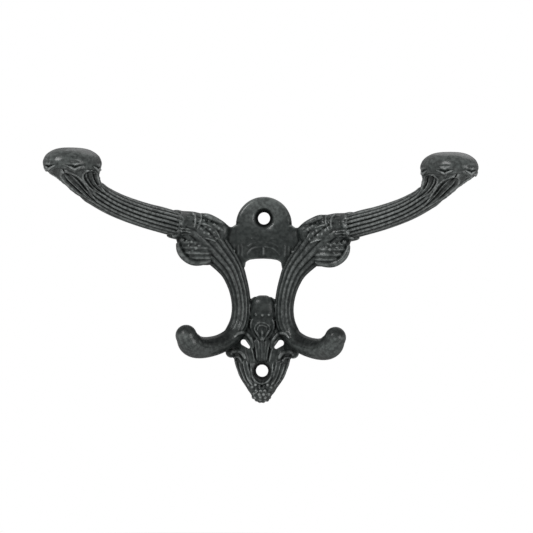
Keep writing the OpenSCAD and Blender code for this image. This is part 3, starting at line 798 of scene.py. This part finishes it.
def sleeve_place(t, s):
    points = 0.5 - 0.5 * math.cos(TAU * COLLAR_POINTS * t)
    late = max((s - COLLAR_FROM) / (1 - COLLAR_FROM), 0)
    return ring_point(row_at(SLEEVE_ROWS, s), t, 0.0, COLLAR_REACH * points * late)


# profiles from the wall to the crown: share of the outline, share of the height
CROWN = [(1, 0), (1, 0.25), (1, 0.5), (0.93, 0.74), (0.77, 0.91), (0.5, 0.99), (0, 1)]
EDGE = [(1, 0), (1, 0.3), (1, 0.55), (0.97, 0.77), (0.91, 0.9), (0.8, 0.955), (0.4, 0.99), (0, 1)]
BLEND = [(1, 0), (1, 0.5), (1, 0.82), (0.92, 0.83), (0.75, 0.87), (0.5, 0.935), (0.25, 0.98), (0, 1)]


def raised(outline, front, profile, around=96, along=36):
    """An outline that rises from the wall by a profile and closes over its middle."""
    middle_x, middle_z = (sum(values) / len(outline) for values in zip(*outline))

    def place(t, s):
        reach, out = row_at(profile, s)
        x, z = outline_at(outline, t)
        reach = max(reach, 0.0)
        return Vector((middle_x + (x - middle_x) * reach, -front * min(out, 1.0),
                       middle_z + (z - middle_z) * reach))
    return rolled(around, along, place)


# how much of a level ring's points lie along its flat back
BACK_SHARE = 0.12


def level(rows, fronts, columns=60, along=80):
    """A form of level rings: rows give up, left, right and more; fronts(row, u, s) how far out."""
    def place(t, s):
        row = row_at(rows, s)
        middle, half = (row[1] + row[2]) / 2, max((row[2] - row[1]) / 2, THINNEST)
        if t < 1 - BACK_SHARE:
            u = -math.cos(math.pi * t / (1 - BACK_SHARE))
            return Vector((middle + half * u, -fronts(row, u, s), row[0]))
        u = 1 - 2 * (t - (1 - BACK_SHARE)) / BACK_SHARE
        return Vector((middle + half * u, 0.0, row[0]))
    return rolled(columns, along, place)


def mm_of(shares):
    return [(a * HALF_SPAN, b * HEIGHT) for a, b in shares]


def fold_line(shares, out, width):
    """A round fold through shares of across, up, out and thickness."""
    return bar([(a * HALF_SPAN, -c * out, b * HEIGHT, d * width) for a, b, c, d in shares], 16, 48)


def dome(u):
    """One in the middle of a level ring, falling steeply to none at its two sides."""
    return max(1 - u * u, 0.0) ** 0.35


both(rolled(120, 40, sleeve_place))
print("sleeve rolled with", COLLAR_POINTS, "points")

# %% [markdown]
# The outlines and rings of the knuckle are read from the hook's front, as shares of half
# its span and of its height, so that they move with the hook's size. Their order is the
# order in which a carver would lay them: the large forms, then the folds on top of them.

# %% Knuckles

SHOULDER = mm_of([
    (0.16, 0.254), (0.166, 0.271), (0.191, 0.285), (0.215, 0.297), (0.256, 0.315), (0.298, 0.324),
    (0.311, 0.313), (0.319, 0.28), (0.315, 0.236), (0.283, 0.192), (0.21, 0.188), (0.168, 0.219)])
KNUCKLE_BODY = mm_of([
    (0.298, 0.311), (0.325, 0.327), (0.378, 0.331), (0.42, 0.329), (0.429, 0.297), (0.426, 0.254),
    (0.414, 0.21), (0.378, 0.184), (0.315, 0.184), (0.294, 0.236)])
SHOULDER_OUT, BODY_OUT, LOBE_OUT = 9.6, 0.95, 12.4
FOLD, LOBE_RIM, LOBE_RIBS, LOBE_RIB, LOBE_SIDE = 2.4, 2.6, 6, 0.5, 0.45
# up, left, right and the share of its full height
LOBE_ROWS = [(a * HEIGHT, b * HALF_SPAN, c * HALF_SPAN, d) for a, b, c, d in [
    (0.227, 0.273, 0.425, 0.9), (0.206, 0.252, 0.416, 1), (0.184, 0.241, 0.407, 1.02),
    (0.162, 0.236, 0.395, 1), (0.142, 0.237, 0.377, 0.94), (0.124, 0.244, 0.356, 0.8),
    (0.115, 0.257, 0.338, 0.55)]]


def lobe_front(row, u, s):
    rib = LOBE_RIB * (0.5 - 0.5 * math.cos(TAU * LOBE_RIBS * s))
    return LOBE_OUT * (LOBE_SIDE + (row[3] - LOBE_SIDE) * dome(u)) - rib


both(raised(SHOULDER, SHOULDER_OUT, CROWN))
both(raised(KNUCKLE_BODY, SHOULDER_OUT * BODY_OUT, CROWN))
both(level(LOBE_ROWS, lobe_front))
both(fold_line([
    (0.41, 0.203, 0.8, 0.6), (0.402, 0.175, 0.84, 1), (0.384, 0.15, 0.84, 1.1),
    (0.354, 0.131, 0.8, 1.1), (0.322, 0.124, 0.76, 1.1), (0.283, 0.127, 0.76, 1),
    (0.252, 0.135, 0.7, 0.6)], LOBE_OUT, LOBE_RIM))
both(fold_line([
    (0.172, 0.266, 0.6, 0.7), (0.2, 0.283, 0.8, 1), (0.235, 0.298, 0.92, 1.2),
    (0.27, 0.31, 0.95, 1.2), (0.3, 0.314, 0.85, 0.8)], SHOULDER_OUT, FOLD))
both(fold_line([
    (0.176, 0.238, 0.7, 0.7), (0.2, 0.256, 0.9, 1), (0.235, 0.27, 1, 1.2),
    (0.272, 0.278, 1, 1.1), (0.302, 0.276, 0.9, 0.8)], SHOULDER_OUT, FOLD))
print("knuckles rolled;", len(body_skins), "skins for the body so far")

# %% [markdown]
# The ear is a thick disc for the upper screw, with a worn, rounded rim. It runs into the
# crossbar, which closes the window at its top. The crossbar and the plate between the
# stems are flat webs, so they are slabs: one face with the web's outline, extruded to the
# wall, with a bevel for its front edge. Where forms meet, the metal fills their corner, so
# small mounds are laid there as a pattern maker's wax fillets.

# %% Ear and crossbar
EAR_RADIUS, EAR_OUT, EAR_Z, HOLE_Z = 12.8, 5.4, 32.1, 35.0
CROSSBAR_OUT, WEB_OUT, WEB_SOFT = 5.3, 4.2, 0.5


def slab(outline, front, back=0.0, soft=0.0):
    """An outline filled and thickened from its front to its back, its front edge softened."""
    bm = bmesh.new()
    corners = bmesh.ops.create_circle(bm, cap_ends=True, segments=len(outline), radius=1.0)["verts"]
    for v, (x, z) in zip(corners, outline):
        v.co = Vector((x, -front, z)) * MM
    pushed = bmesh.ops.extrude_face_region(bm, geom=bm.faces[:], use_keep_orig=True)["geom"]
    back_verts = [part for part in pushed if isinstance(part, bmesh.types.BMVert)]
    bmesh.ops.translate(bm, verts=back_verts, vec=(0, (front + back) * MM, 0))
    bmesh.ops.recalc_face_normals(bm, faces=bm.faces)
    if soft:
        rim = [e for e in bm.edges if all(abs(v.co.y + front * MM) < 1e-7 for v in e.verts)]
        bmesh.ops.bevel(bm, geom=rim, offset=soft * MM, segments=2, profile=0.5,
                        affect="EDGES", material=-1)
    bmesh.ops.triangulate(bm, faces=bm.faces)
    return bm


def both_sides(shares):
    """An outline whose right half is given, from its lower to its upper middle."""
    points = mm_of(shares)
    return points + [(-x, z) for x, z in points[-2:0:-1]]


def arc(x, z, half_x, half_z, degrees):
    """Points of an oval round a middle, at a range of degrees."""
    return [(x + half_x * math.cos(math.radians(a)), z + half_z * math.sin(math.radians(a)))
            for a in degrees]


WEB = both_sides([
    (0, 0.144), (0.036, 0.143), (0.068, 0.139), (0.0855, 0.13), (0.0895, 0.109), (0.152, 0.11),
    (0.294, 0.166), (0.357, 0.262), (0.294, 0.315), (0.22, 0.297), (0.165, 0.27), (0.152, 0.27),
    (0.135, 0.28), (0, 0.28)])
LOWER_WEB = both_sides([
    (0, -0.014), (0.046, -0.019), (0.062, -0.018), (0.069, 0.004), (0.115, 0.026), (0.136, -0.052),
    (0.132, -0.122), (0.136, -0.21), (0, -0.21)])
EAR_FOOT = [(17.0, 26.6), (17.5, 22.6), (12.5, 18.4), (6.0, 17.9)]
EAR_LEAN = 0.24
ear_outline = arc(0, EAR_Z, EAR_RADIUS, EAR_RADIUS, range(-15, 196, 7)) \
    + [(-x, z) for x, z in EAR_FOOT] + [(0, 18.1)] + EAR_FOOT[::-1]
ear = raised(ear_outline, EAR_OUT, EDGE, 96, 40)
for v in ear.verts:
    v.co.y *= 1 - EAR_LEAN * max(0.0, (v.co.z / MM - EAR_Z) / EAR_RADIUS) ** 2
# the casting's fillets: how far out, across, up, half its width and half its height
FILLETS = [(6.3, 17.4, 25.0, 8.0, 5.9), (3.2, 14.2, -26.5, 2.7, 2.7)]
body_skins.append(ear)
for front, x, z, half_x, half_z in FILLETS:
    both(raised(arc(x, z, half_x, half_z, range(0, 360, 10)), front, BLEND, 48, 24))
body_skins += [slab(WEB, CROSSBAR_OUT, soft=WEB_SOFT), slab(LOWER_WEB, WEB_OUT, soft=WEB_SOFT)]
print("ear and crossbar made")

# %% [markdown]
# Below the window a palmette stands between the stems: a round head, three beads, two
# nested arches and a drop. The leaf below it swells at each side of the lower screw's
# hollow, is fluted to its edges and ends in a small berry. All are symmetric stacks of
# level rings, whose front is a sum of a dome and of flutes that fan out from the middle.

# %% Palmette, leaf and berry
PALMETTE_OUT, FAN_OUT, LEAF_OUT, HOLLOW_OUT, EDGE_OUT = 7.4, 6.6, 6.2, 4.0, 2.2
PALMETTE_SIDE, FAN_SIDE = 3.8, 3.1
FAN_FLUTES, FAN_FLUTE, LEAF_FLUTES, LEAF_FLUTE = 6, 0.7, 10, 0.6


def symmetric(shares):
    return [(r[0] * HEIGHT, -r[1] * HALF_SPAN, r[1] * HALF_SPAN) + tuple(r[2:]) for r in shares]


# up, half the width, share of the full height and, for the leaf, depth of the flutes
PALMETTE_ROWS = symmetric([
    (-0.003, 0.018, 0.6), (-0.01, 0.035, 0.8), (-0.025, 0.049, 0.95), (-0.048, 0.057, 1),
    (-0.072, 0.059, 0.98), (-0.092, 0.061, 0.9), (-0.122, 0.06, 0.88), (-0.15, 0.046, 0.84),
    (-0.17, 0.026, 0.78), (-0.184, 0.012, 0.6)])
FAN_ROWS = symmetric([
    (-0.153, 0.026, 0.7), (-0.166, 0.042, 0.86), (-0.19, 0.052, 0.96), (-0.225, 0.046, 0.98),
    (-0.252, 0.038, 0.94), (-0.272, 0.032, 0.7)])
LEAF_ROWS = symmetric([
    (-0.114, 0.105, 0.6, 0.3), (-0.149, 0.132, 0.8, 0.4), (-0.184, 0.153, 0.95, 0.6),
    (-0.214, 0.164, 1, 0.8), (-0.236, 0.155, 1, 1), (-0.255, 0.139, 1, 1), (-0.28, 0.132, 1, 1),
    (-0.308, 0.12, 1, 1), (-0.331, 0.109, 0.96, 1), (-0.354, 0.092, 0.9, 1),
    (-0.374, 0.075, 0.8, 0.8), (-0.398, 0.057, 0.6, 0.4), (-0.416, 0.031, 0.4, 0)])


def flute_cut(u, flutes):
    """One in the groove between two flutes of a level ring, none on a crest."""
    return 1 - reed(flutes, math.acos(max(min(-u, 1), -1)) / math.pi)


def palmette_front(row, u, s):
    return PALMETTE_SIDE + (row[3] * PALMETTE_OUT - PALMETTE_SIDE) * dome(u)


def fan_front(row, u, s):
    return FAN_SIDE + (row[3] * FAN_OUT - FAN_SIDE) * dome(u) - FAN_FLUTE * flute_cut(u, FAN_FLUTES)


def leaf_front(row, u, s):
    off = abs(u)
    swell = (LEAF_OUT - (HOLLOW_OUT + EDGE_OUT) / 2) * math.sin(math.pi * min(off, 1) ** 1.15)
    flute = LEAF_FLUTE * max(row[4], 0) * flute_cut(u, LEAF_FLUTES)
    return row[3] * (HOLLOW_OUT * (1 - off) + EDGE_OUT * off + swell) - flute


body_skins.append(level(PALMETTE_ROWS, palmette_front))
body_skins.append(level(LEAF_ROWS, leaf_front, 140, 120))
body_skins.append(level(FAN_ROWS, fan_front, 100, 60))
print("palmette, fan and leaf made")

# %% [markdown]
# The berry at the foot is a small egg set with seeds. Each seed is a ball sunk part of its
# way into the egg, in rows that are set off from each other by half a seed, as they grow.

# %% Berry
# how far down, share of the full width
BERRY_ROWS = [(0.0, 0.1), (0.05, 0.4), (0.18, 0.76), (0.36, 0.98), (0.54, 1), (0.72, 0.86),
              (0.88, 0.56), (1, 0.1)]
TIP = TOP - HEIGHT
BERRY_HALF, BERRY_TALL, BERRY_FOOT = 4.5, 7.8, 0.7
BERRY_MIDDLE, BERRY_DEEP = 0.42, 0.56


def berry_place(t, s):
    down, reach = row_at(BERRY_ROWS, s)
    angle = -TAU * t
    return Vector((BERRY_HALF * reach * math.cos(angle),
                   -LEAF_OUT * (BERRY_MIDDLE + BERRY_DEEP * reach * math.sin(angle)),
                   TIP + BERRY_FOOT + (BERRY_TALL - BERRY_FOOT) * (1 - down)))


# how far down the berry each row of seeds lies, and how many there are round it
SEED_PLACES = [(0.12, 6), (0.3, 9), (0.48, 10), (0.66, 9), (0.82, 7), (0.93, 4)]
SEED, SEED_SUNK, SEED_OUT = 2.0, 0.5, -1.0
for k, (down_share, seeds_round) in enumerate(SEED_PLACES):
    for i in range(seeds_round):
        seed_at = berry_place((i + 0.5 * (k % 2)) / seeds_round, down_share)
        if seed_at.y < SEED_OUT:
            sunk = Vector((0, SEED_SUNK, TIP + BERRY_TALL / 2)) - Vector((seed_at.x, 0, seed_at.z))
            body_skins.append(ball(seed_at + sunk.normalized() * SEED_SUNK, SEED, 12))
body_skins.append(rolled(112, 60, berry_place))
print("berry made;", len(body_skins), "skins for the body so far")

# %% [markdown]
# The fine ornament is drawn on the forms made so far, as a carver cuts lines in a pattern
# that already has its swellings. Each line is a list of places seen from the front, in
# millimetres, with its width and how proud it stands. A ray cast from the front finds
# the surface under each place, and the line becomes a thin bar that lies on it.

# %% Draw on the surface
ground = merged(body_skins)
surface = BVHTree.FromBMesh(ground)
ground.free()
FAR, BESIDE_ALL = -80.0, -4.0
LINE_END, TAPER = 0.3, 3


def depth_at(x, z):
    """Where a ray from the front meets the body, and a usual depth where it meets nothing."""
    hit = surface.ray_cast(Vector((x, FAR, z)) * MM, Vector((0, 1, 0)))[0]
    return hit.y / MM if hit else BESIDE_ALL


def laid(points, width, proud):
    """A bar along places seen from the front, thinner at its two ends."""
    count = 8 * len(points)
    line = [row_at(points, k / (count - 1)) for k in range(count)]
    depths = [depth_at(x, z) for x, z in line]
    rows = []
    for k, (x, z) in enumerate(line):
        near = depths[max(k - 2, 0):k + 3]
        to_end = min(k, count - 1 - k) / (count - 1) * 2
        thick = width * (LINE_END + (1 - LINE_END) * min(to_end * TAPER, 1.0) ** 0.7)
        rows.append((x, sum(near) / len(near) - proud + thick / 2, z, thick))
    return bar(rows, 10, count * 2)


def bead(x, z, diameter, proud):
    return ball((x, depth_at(x, z) - proud + diameter / 2, z), diameter, 16)


def through_middle(half):
    """Places of the right half, led over the middle line to the left half."""
    return [(-x, z) for x, z in half] + half[-2::-1]


print("lines and beads can be laid on the surface")

# %% [markdown]
# These are the carver's lines and beads, most of them in pairs, one for each half. They
# are read from the front of the hook. A line that only looked dark in the paint would not
# be part of the mesh, so each one is shape.

# %% Lines and beads
# places, width, how proud
PAIRED_LINES = [
    # the rim of the palmette and the sweeps beside its arches
    ([(3.4, -1.0), (5.1, -2.4), (6.0, -4.6), (6.2, -7.2), (5.9, -10.2), (5.3, -12.4)], 1.0, 0.4),
    ([(4.5, -11.2), (5.2, -13.8), (4.7, -16.6), (2.9, -19.8)], 1.1, 0.6),
    ([(3.2, -16.4), (1.9, -18.6), (0.4, -20.9)], 1.0, 0.6),
    # the folds over the small openings, and the lines that run from them to the hole
    ([(12.6, -19.6), (11.0, -17.9), (9.0, -17.4), (7.1, -18.2), (5.5, -20.0), (4.6, -22.3),
      (4.2, -24.6)], 2.0, 0.8),
    ([(7.0, -20.6), (5.1, -24.0), (4.1, -27.6), (3.5, -30.8)], 0.9, 0.55),
    ([(3.3, -20.6), (2.9, -23.6), (2.4, -27.0), (2.1, -30.2)], 0.75, 0.45),
    ([(1.7, -21.0), (1.5, -24.0), (1.2, -27.0), (1.0, -30.4)], 0.75, 0.45),
    # the rolled sides of the leaf and the lines of its lower half
    ([(14.2, -27.4), (13.0, -26.2), (10.8, -26.0), (8.8, -27.2), (7.6, -29.4)], 2.0, 0.8),
    ([(12.9, -29.4), (11.8, -28.6), (10.2, -29.2), (8.9, -31.6)], 1.1, 0.6),
    ([(12.2, -30.6), (11.0, -34.4), (9.0, -38.6), (6.4, -42.6)], 0.9, 0.5),
    ([(10.4, -31.6), (9.2, -35.6), (7.4, -39.4), (5.4, -42.2)], 0.9, 0.5),
    ([(8.6, -30.8), (7.6, -35.0), (6.2, -38.8), (4.4, -41.4)], 0.9, 0.5),
    ([(7.0, -30.4), (6.2, -34.4), (5.2, -37.8)], 0.9, 0.5),
    # the cuff at the end of the sleeve and the fold beside it
    ([(33.6, 37.6), (31.4, 35.6), (30.9, 33.2), (31.2, 30.6)], 1.3, 0.7),
    ([(28.6, 36.6), (28.4, 34.2), (29.0, 31.8), (29.8, 29.8)], 1.1, 0.5),
    # small folds under the sleeve
    ([(37.6, 29.7), (35.4, 29.6), (33.2, 29.2)], 0.8, 0.45),
    ([(37.4, 28.3), (35.2, 28.4), (33.0, 28.0)], 0.8, 0.45),
    ([(37.2, 26.9), (35.4, 27.2), (33.6, 26.9)], 0.8, 0.45),
    # the edges of the pebbled leaf on the shoulder
    ([(30.0, 31.4), (27.4, 32.0), (24.2, 30.8), (21.4, 28.4), (19.8, 25.8)], 0.9, 0.45),
    ([(30.0, 28.4), (27.2, 26.0), (24.2, 25.0), (21.4, 24.0)], 0.9, 0.45),
    # ribs of the crossbar and the moulding round them
    ([(9.7, 17.2), (9.8, 20.0), (9.9, 22.8)], 1.2, 0.3),
    ([(11.5, 17.8), (11.6, 20.2), (11.7, 22.8)], 1.2, 0.3),
    ([(13.4, 19.2), (13.5, 21.0), (13.6, 23.0)], 1.2, 0.28),
    ([(7.6, 18.0), (5.6, 20.4), (3.2, 21.6), (0.6, 21.9)], 1.3, 0.3),
    ([(7.4, 21.6), (5.0, 23.2), (2.6, 23.9), (0.6, 24.1)], 1.2, 0.22),
    ([(6.2, 25.6), (4.4, 25.9), (2.8, 26.0)], 1.2, 0.22),
]
MIDDLE_LINES = [
    (through_middle([(3.6, -16.6), (3.2, -14.6), (1.9, -13.3), (0, -12.8)]), 0.9, 0.42),
    (through_middle([(2.2, -16.4), (1.8, -14.9), (0.9, -14.2), (0, -14.0)]), 0.8, 0.42),
    (through_middle([(5.0, -31.6), (4.8, -34.6), (4.2, -37.6), (2.6, -39.9), (0, -40.9)]), 1.1, 0.6),
    ([(0, 17.6), (0, 19.4), (0, 21.6)], 1.0, 0.4),
    ([(0, -16.6), (0, -18.0), (0, -19.4), (0, -20.6)], 1.7, 0.75),
]
# place, diameter, how proud
MIDDLE_BEAD = (0, -9.3, 1.7, 0.5)
PAIRED_BEADS = [
    (2.9, -9.1, 1.7, 0.5), (37.0, 24.6, 2.4, 1.1), (21.4, 25.4, 1.9, 0.6),
    (28.6, 29.8, 1.7, 0.36), (26.5, 30.5, 1.6, 0.32), (24.4, 29.6, 1.7, 0.36), (22.7, 28.2, 1.6, 0.36),
    (27.0, 28.1, 1.7, 0.36), (25.0, 27.4, 1.6, 0.36), (23.0, 26.6, 1.6, 0.36), (30.0, 31.2, 1.5, 0.32),
    (32.6, 23.7, 1.6, 0.36), (30.9, 22.8, 1.5, 0.36), (30.5, 20.9, 1.6, 0.36), (29.0, 21.8, 1.5, 0.36),
    (33.8, 21.8, 1.5, 0.36), (32.0, 19.6, 1.4, 0.32), (34.8, 24.0, 1.4, 0.32),
    (27.2, 33.4, 1.5, 0.32), (24.8, 32.9, 1.5, 0.32), (22.4, 31.6, 1.5, 0.32), (20.4, 30.0, 1.5, 0.32),
    (6.0, -41.4, 1.6, 0.7), (4.4, -42.4, 1.5, 0.6), (2.8, -41.4, 1.5, 0.6), (1.2, -42.0, 1.5, 0.6),
    (11.8, -31.0, 1.4, 0.35), (11.2, -33.4, 1.4, 0.35), (9.9, -36.2, 1.4, 0.35), (8.2, -38.9, 1.4, 0.35),
    (6.9, -41.0, 1.4, 0.35),
]
for line in PAIRED_LINES:
    both(laid(*line))
body_skins += [laid(*line) for line in MIDDLE_LINES]
for place in PAIRED_BEADS:
    both(bead(*place))
body_skins.append(bead(*MIDDLE_BEAD))
print("ornament drawn;", len(body_skins), "skins to fuse")

# %% [markdown]
# Iron poured in one mould has no seams, so all the skins of the body are fused. A voxel
# remesh walks over their outside at a pitch finer than the ornament, and a smoothing pass
# rounds what the walk left, as paint does. A boolean union would have kept a hard crease
# at every meeting. The relief is measured here, while the mesh is even.

# %% Fuse the body
VOXEL = 0.26 * MM
SOFTEN, SOFTEN_STEPS = 0.5, 2


def applied(piece):
    """Make the piece's modifiers part of its mesh."""
    bpy.context.view_layer.update()
    seen = piece.evaluated_get(bpy.context.evaluated_depsgraph_get())
    old, piece.data = piece.data, bpy.data.meshes.new_from_object(seen)
    piece.modifiers.clear()
    piece.data.name = piece.name
    bpy.data.meshes.remove(old)


def open_edges(piece):
    bm = bmesh.new()
    bm.from_mesh(piece.data)
    count = sum(1 for e in bm.edges if len(e.link_faces) != 2)
    bm.free()
    return count


body = joined("body", body_skins)
fuse = body.modifiers.new("fuse", "REMESH")
fuse.mode = "VOXEL"
fuse.voxel_size = VOXEL
fuse.use_smooth_shade = True
soften = body.modifiers.new("soften", "SMOOTH")
soften.factor = SOFTEN
soften.iterations = SOFTEN_STEPS
applied(body)
print("fused body has", len(body.data.polygons), "faces;", open_edges(body), "edges without two faces")
fused_places, fused_relief = relief_of(body.data)
fused_tree = KDTree(len(fused_places))
for k, fused_place in enumerate(fused_places):
    fused_tree.insert(fused_place, k)
fused_tree.balance()

# %% [markdown]
# A screw hole is a drilled hole with a cone for the screw's head, so its cutter is one
# turned shell: a skin rolled round the axis of the hole along a short profile. The two
# drop-shaped openings of the leaf are cut with slabs of that outline. The cut meets the
# fused body only after the remesh, which keeps the holes' edges sharp.

# %% Cut the holes
HOLE_HALF, SINK_DEEP, PAST = 2.8, 2.4, 30.0
EAR_CUP, LEAF_CUP = 10.6, 8.2
DROP_LONG, DROP_WIDE, DROP_NARROW, DROP_STEP = 5.2, 2.9, 1.6, 15
DROP_AT, DROP_SLANT = Vector((0.0803 * HALF_SPAN, -0.2 * HEIGHT)), math.radians(42)


def screw_cutter(z, face, cup):
    """A straight hole with a cone and a wide cup in front, as one turned shell."""
    profile = [(0, PAST), (HOLE_HALF, PAST), (HOLE_HALF, SINK_DEEP - face), (cup / 2, -face),
               (cup / 2, -PAST), (0, -PAST)]

    def place(t, s):
        reach, y = profile[round(s * (len(profile) - 1))]
        angle = TAU * t
        return Vector((reach * math.cos(angle), y, z + reach * math.sin(angle)))
    return rolled(64, len(profile) - 1, place, stop_at_wall=False)


def drop_cutter(side):
    """A slab with the outline of a drop, from in front of the leaf to behind the wall."""
    outline = []
    for degrees in range(-90, 270, DROP_STEP):
        blunt = degrees <= 90
        wide = DROP_WIDE if blunt else DROP_NARROW
        shift = (DROP_LONG - wide) / 2 * (1 if blunt else -1)
        angle = math.radians(degrees)
        x, z = shift + wide / 2 * math.cos(angle), wide / 2 * math.sin(angle)
        outline.append((side * (DROP_AT.x + x * math.cos(DROP_SLANT) - z * math.sin(DROP_SLANT)),
                        DROP_AT.y + x * math.sin(DROP_SLANT) + z * math.cos(DROP_SLANT)))
    return slab(outline, PAST, back=PAST)


def cut(piece, bm):
    mesh = bpy.data.meshes.new("cutter")
    bm.to_mesh(mesh)
    bm.free()
    cutter = added("cutter", mesh)
    tool = piece.modifiers.new("cut", "BOOLEAN")
    tool.operation = "DIFFERENCE"
    tool.solver = "MANIFOLD"
    tool.object = cutter
    applied(piece)
    bpy.data.objects.remove(cutter)


cut(body, screw_cutter(HOLE_Z, EAR_OUT, EAR_CUP))
cut(body, screw_cutter(-HOLE_Z, HOLLOW_OUT, LEAF_CUP))
for side in (-1, 1):
    cut(body, drop_cutter(side))
print("holes cut;", len(body.data.polygons), "faces")

# %% [markdown]
# The even mesh has far more faces than a flat back or a smooth rod needs, so it is thinned
# where it is flat. Points that the smoothing pushed past the wall go back to it, and each
# point takes the relief of the nearest point of the fused body, for the paint to read.

# %% Thin the body
MOST_TRIANGLES = 190000
SAME_POINT = 1e-7
SHARP = math.radians(50)
thin = body.modifiers.new("thin", "DECIMATE")
thin.ratio = min(MOST_TRIANGLES / sum(len(face.vertices) - 2 for face in body.data.polygons), 1.0)
applied(body)
settled = bmesh.new()
settled.from_mesh(body.data)
for v in settled.verts:
    v.co.y = min(v.co.y, 0.0)
bmesh.ops.remove_doubles(settled, verts=settled.verts, dist=SAME_POINT)
settled.to_mesh(body.data)
settled.free()
finished(body.data)
body.data.set_sharp_from_angle(angle=SHARP)
keep_relief(body, [fused_relief[fused_tree.find(v.co)[1]] for v in body.data.vertices])
print("body thinned to", len(body.data.polygons), "faces")

# %% [markdown]
# The three pieces stand for the one solid of the part: they ride on its only body and
# hide it.

# %% Hand over
for piece in (arm_right, arm_left, body):
    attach(piece, "root")
    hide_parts("double_hook")
dressed_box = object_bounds()
print("dressed box:", [rounded(corner) for corner in dressed_box])
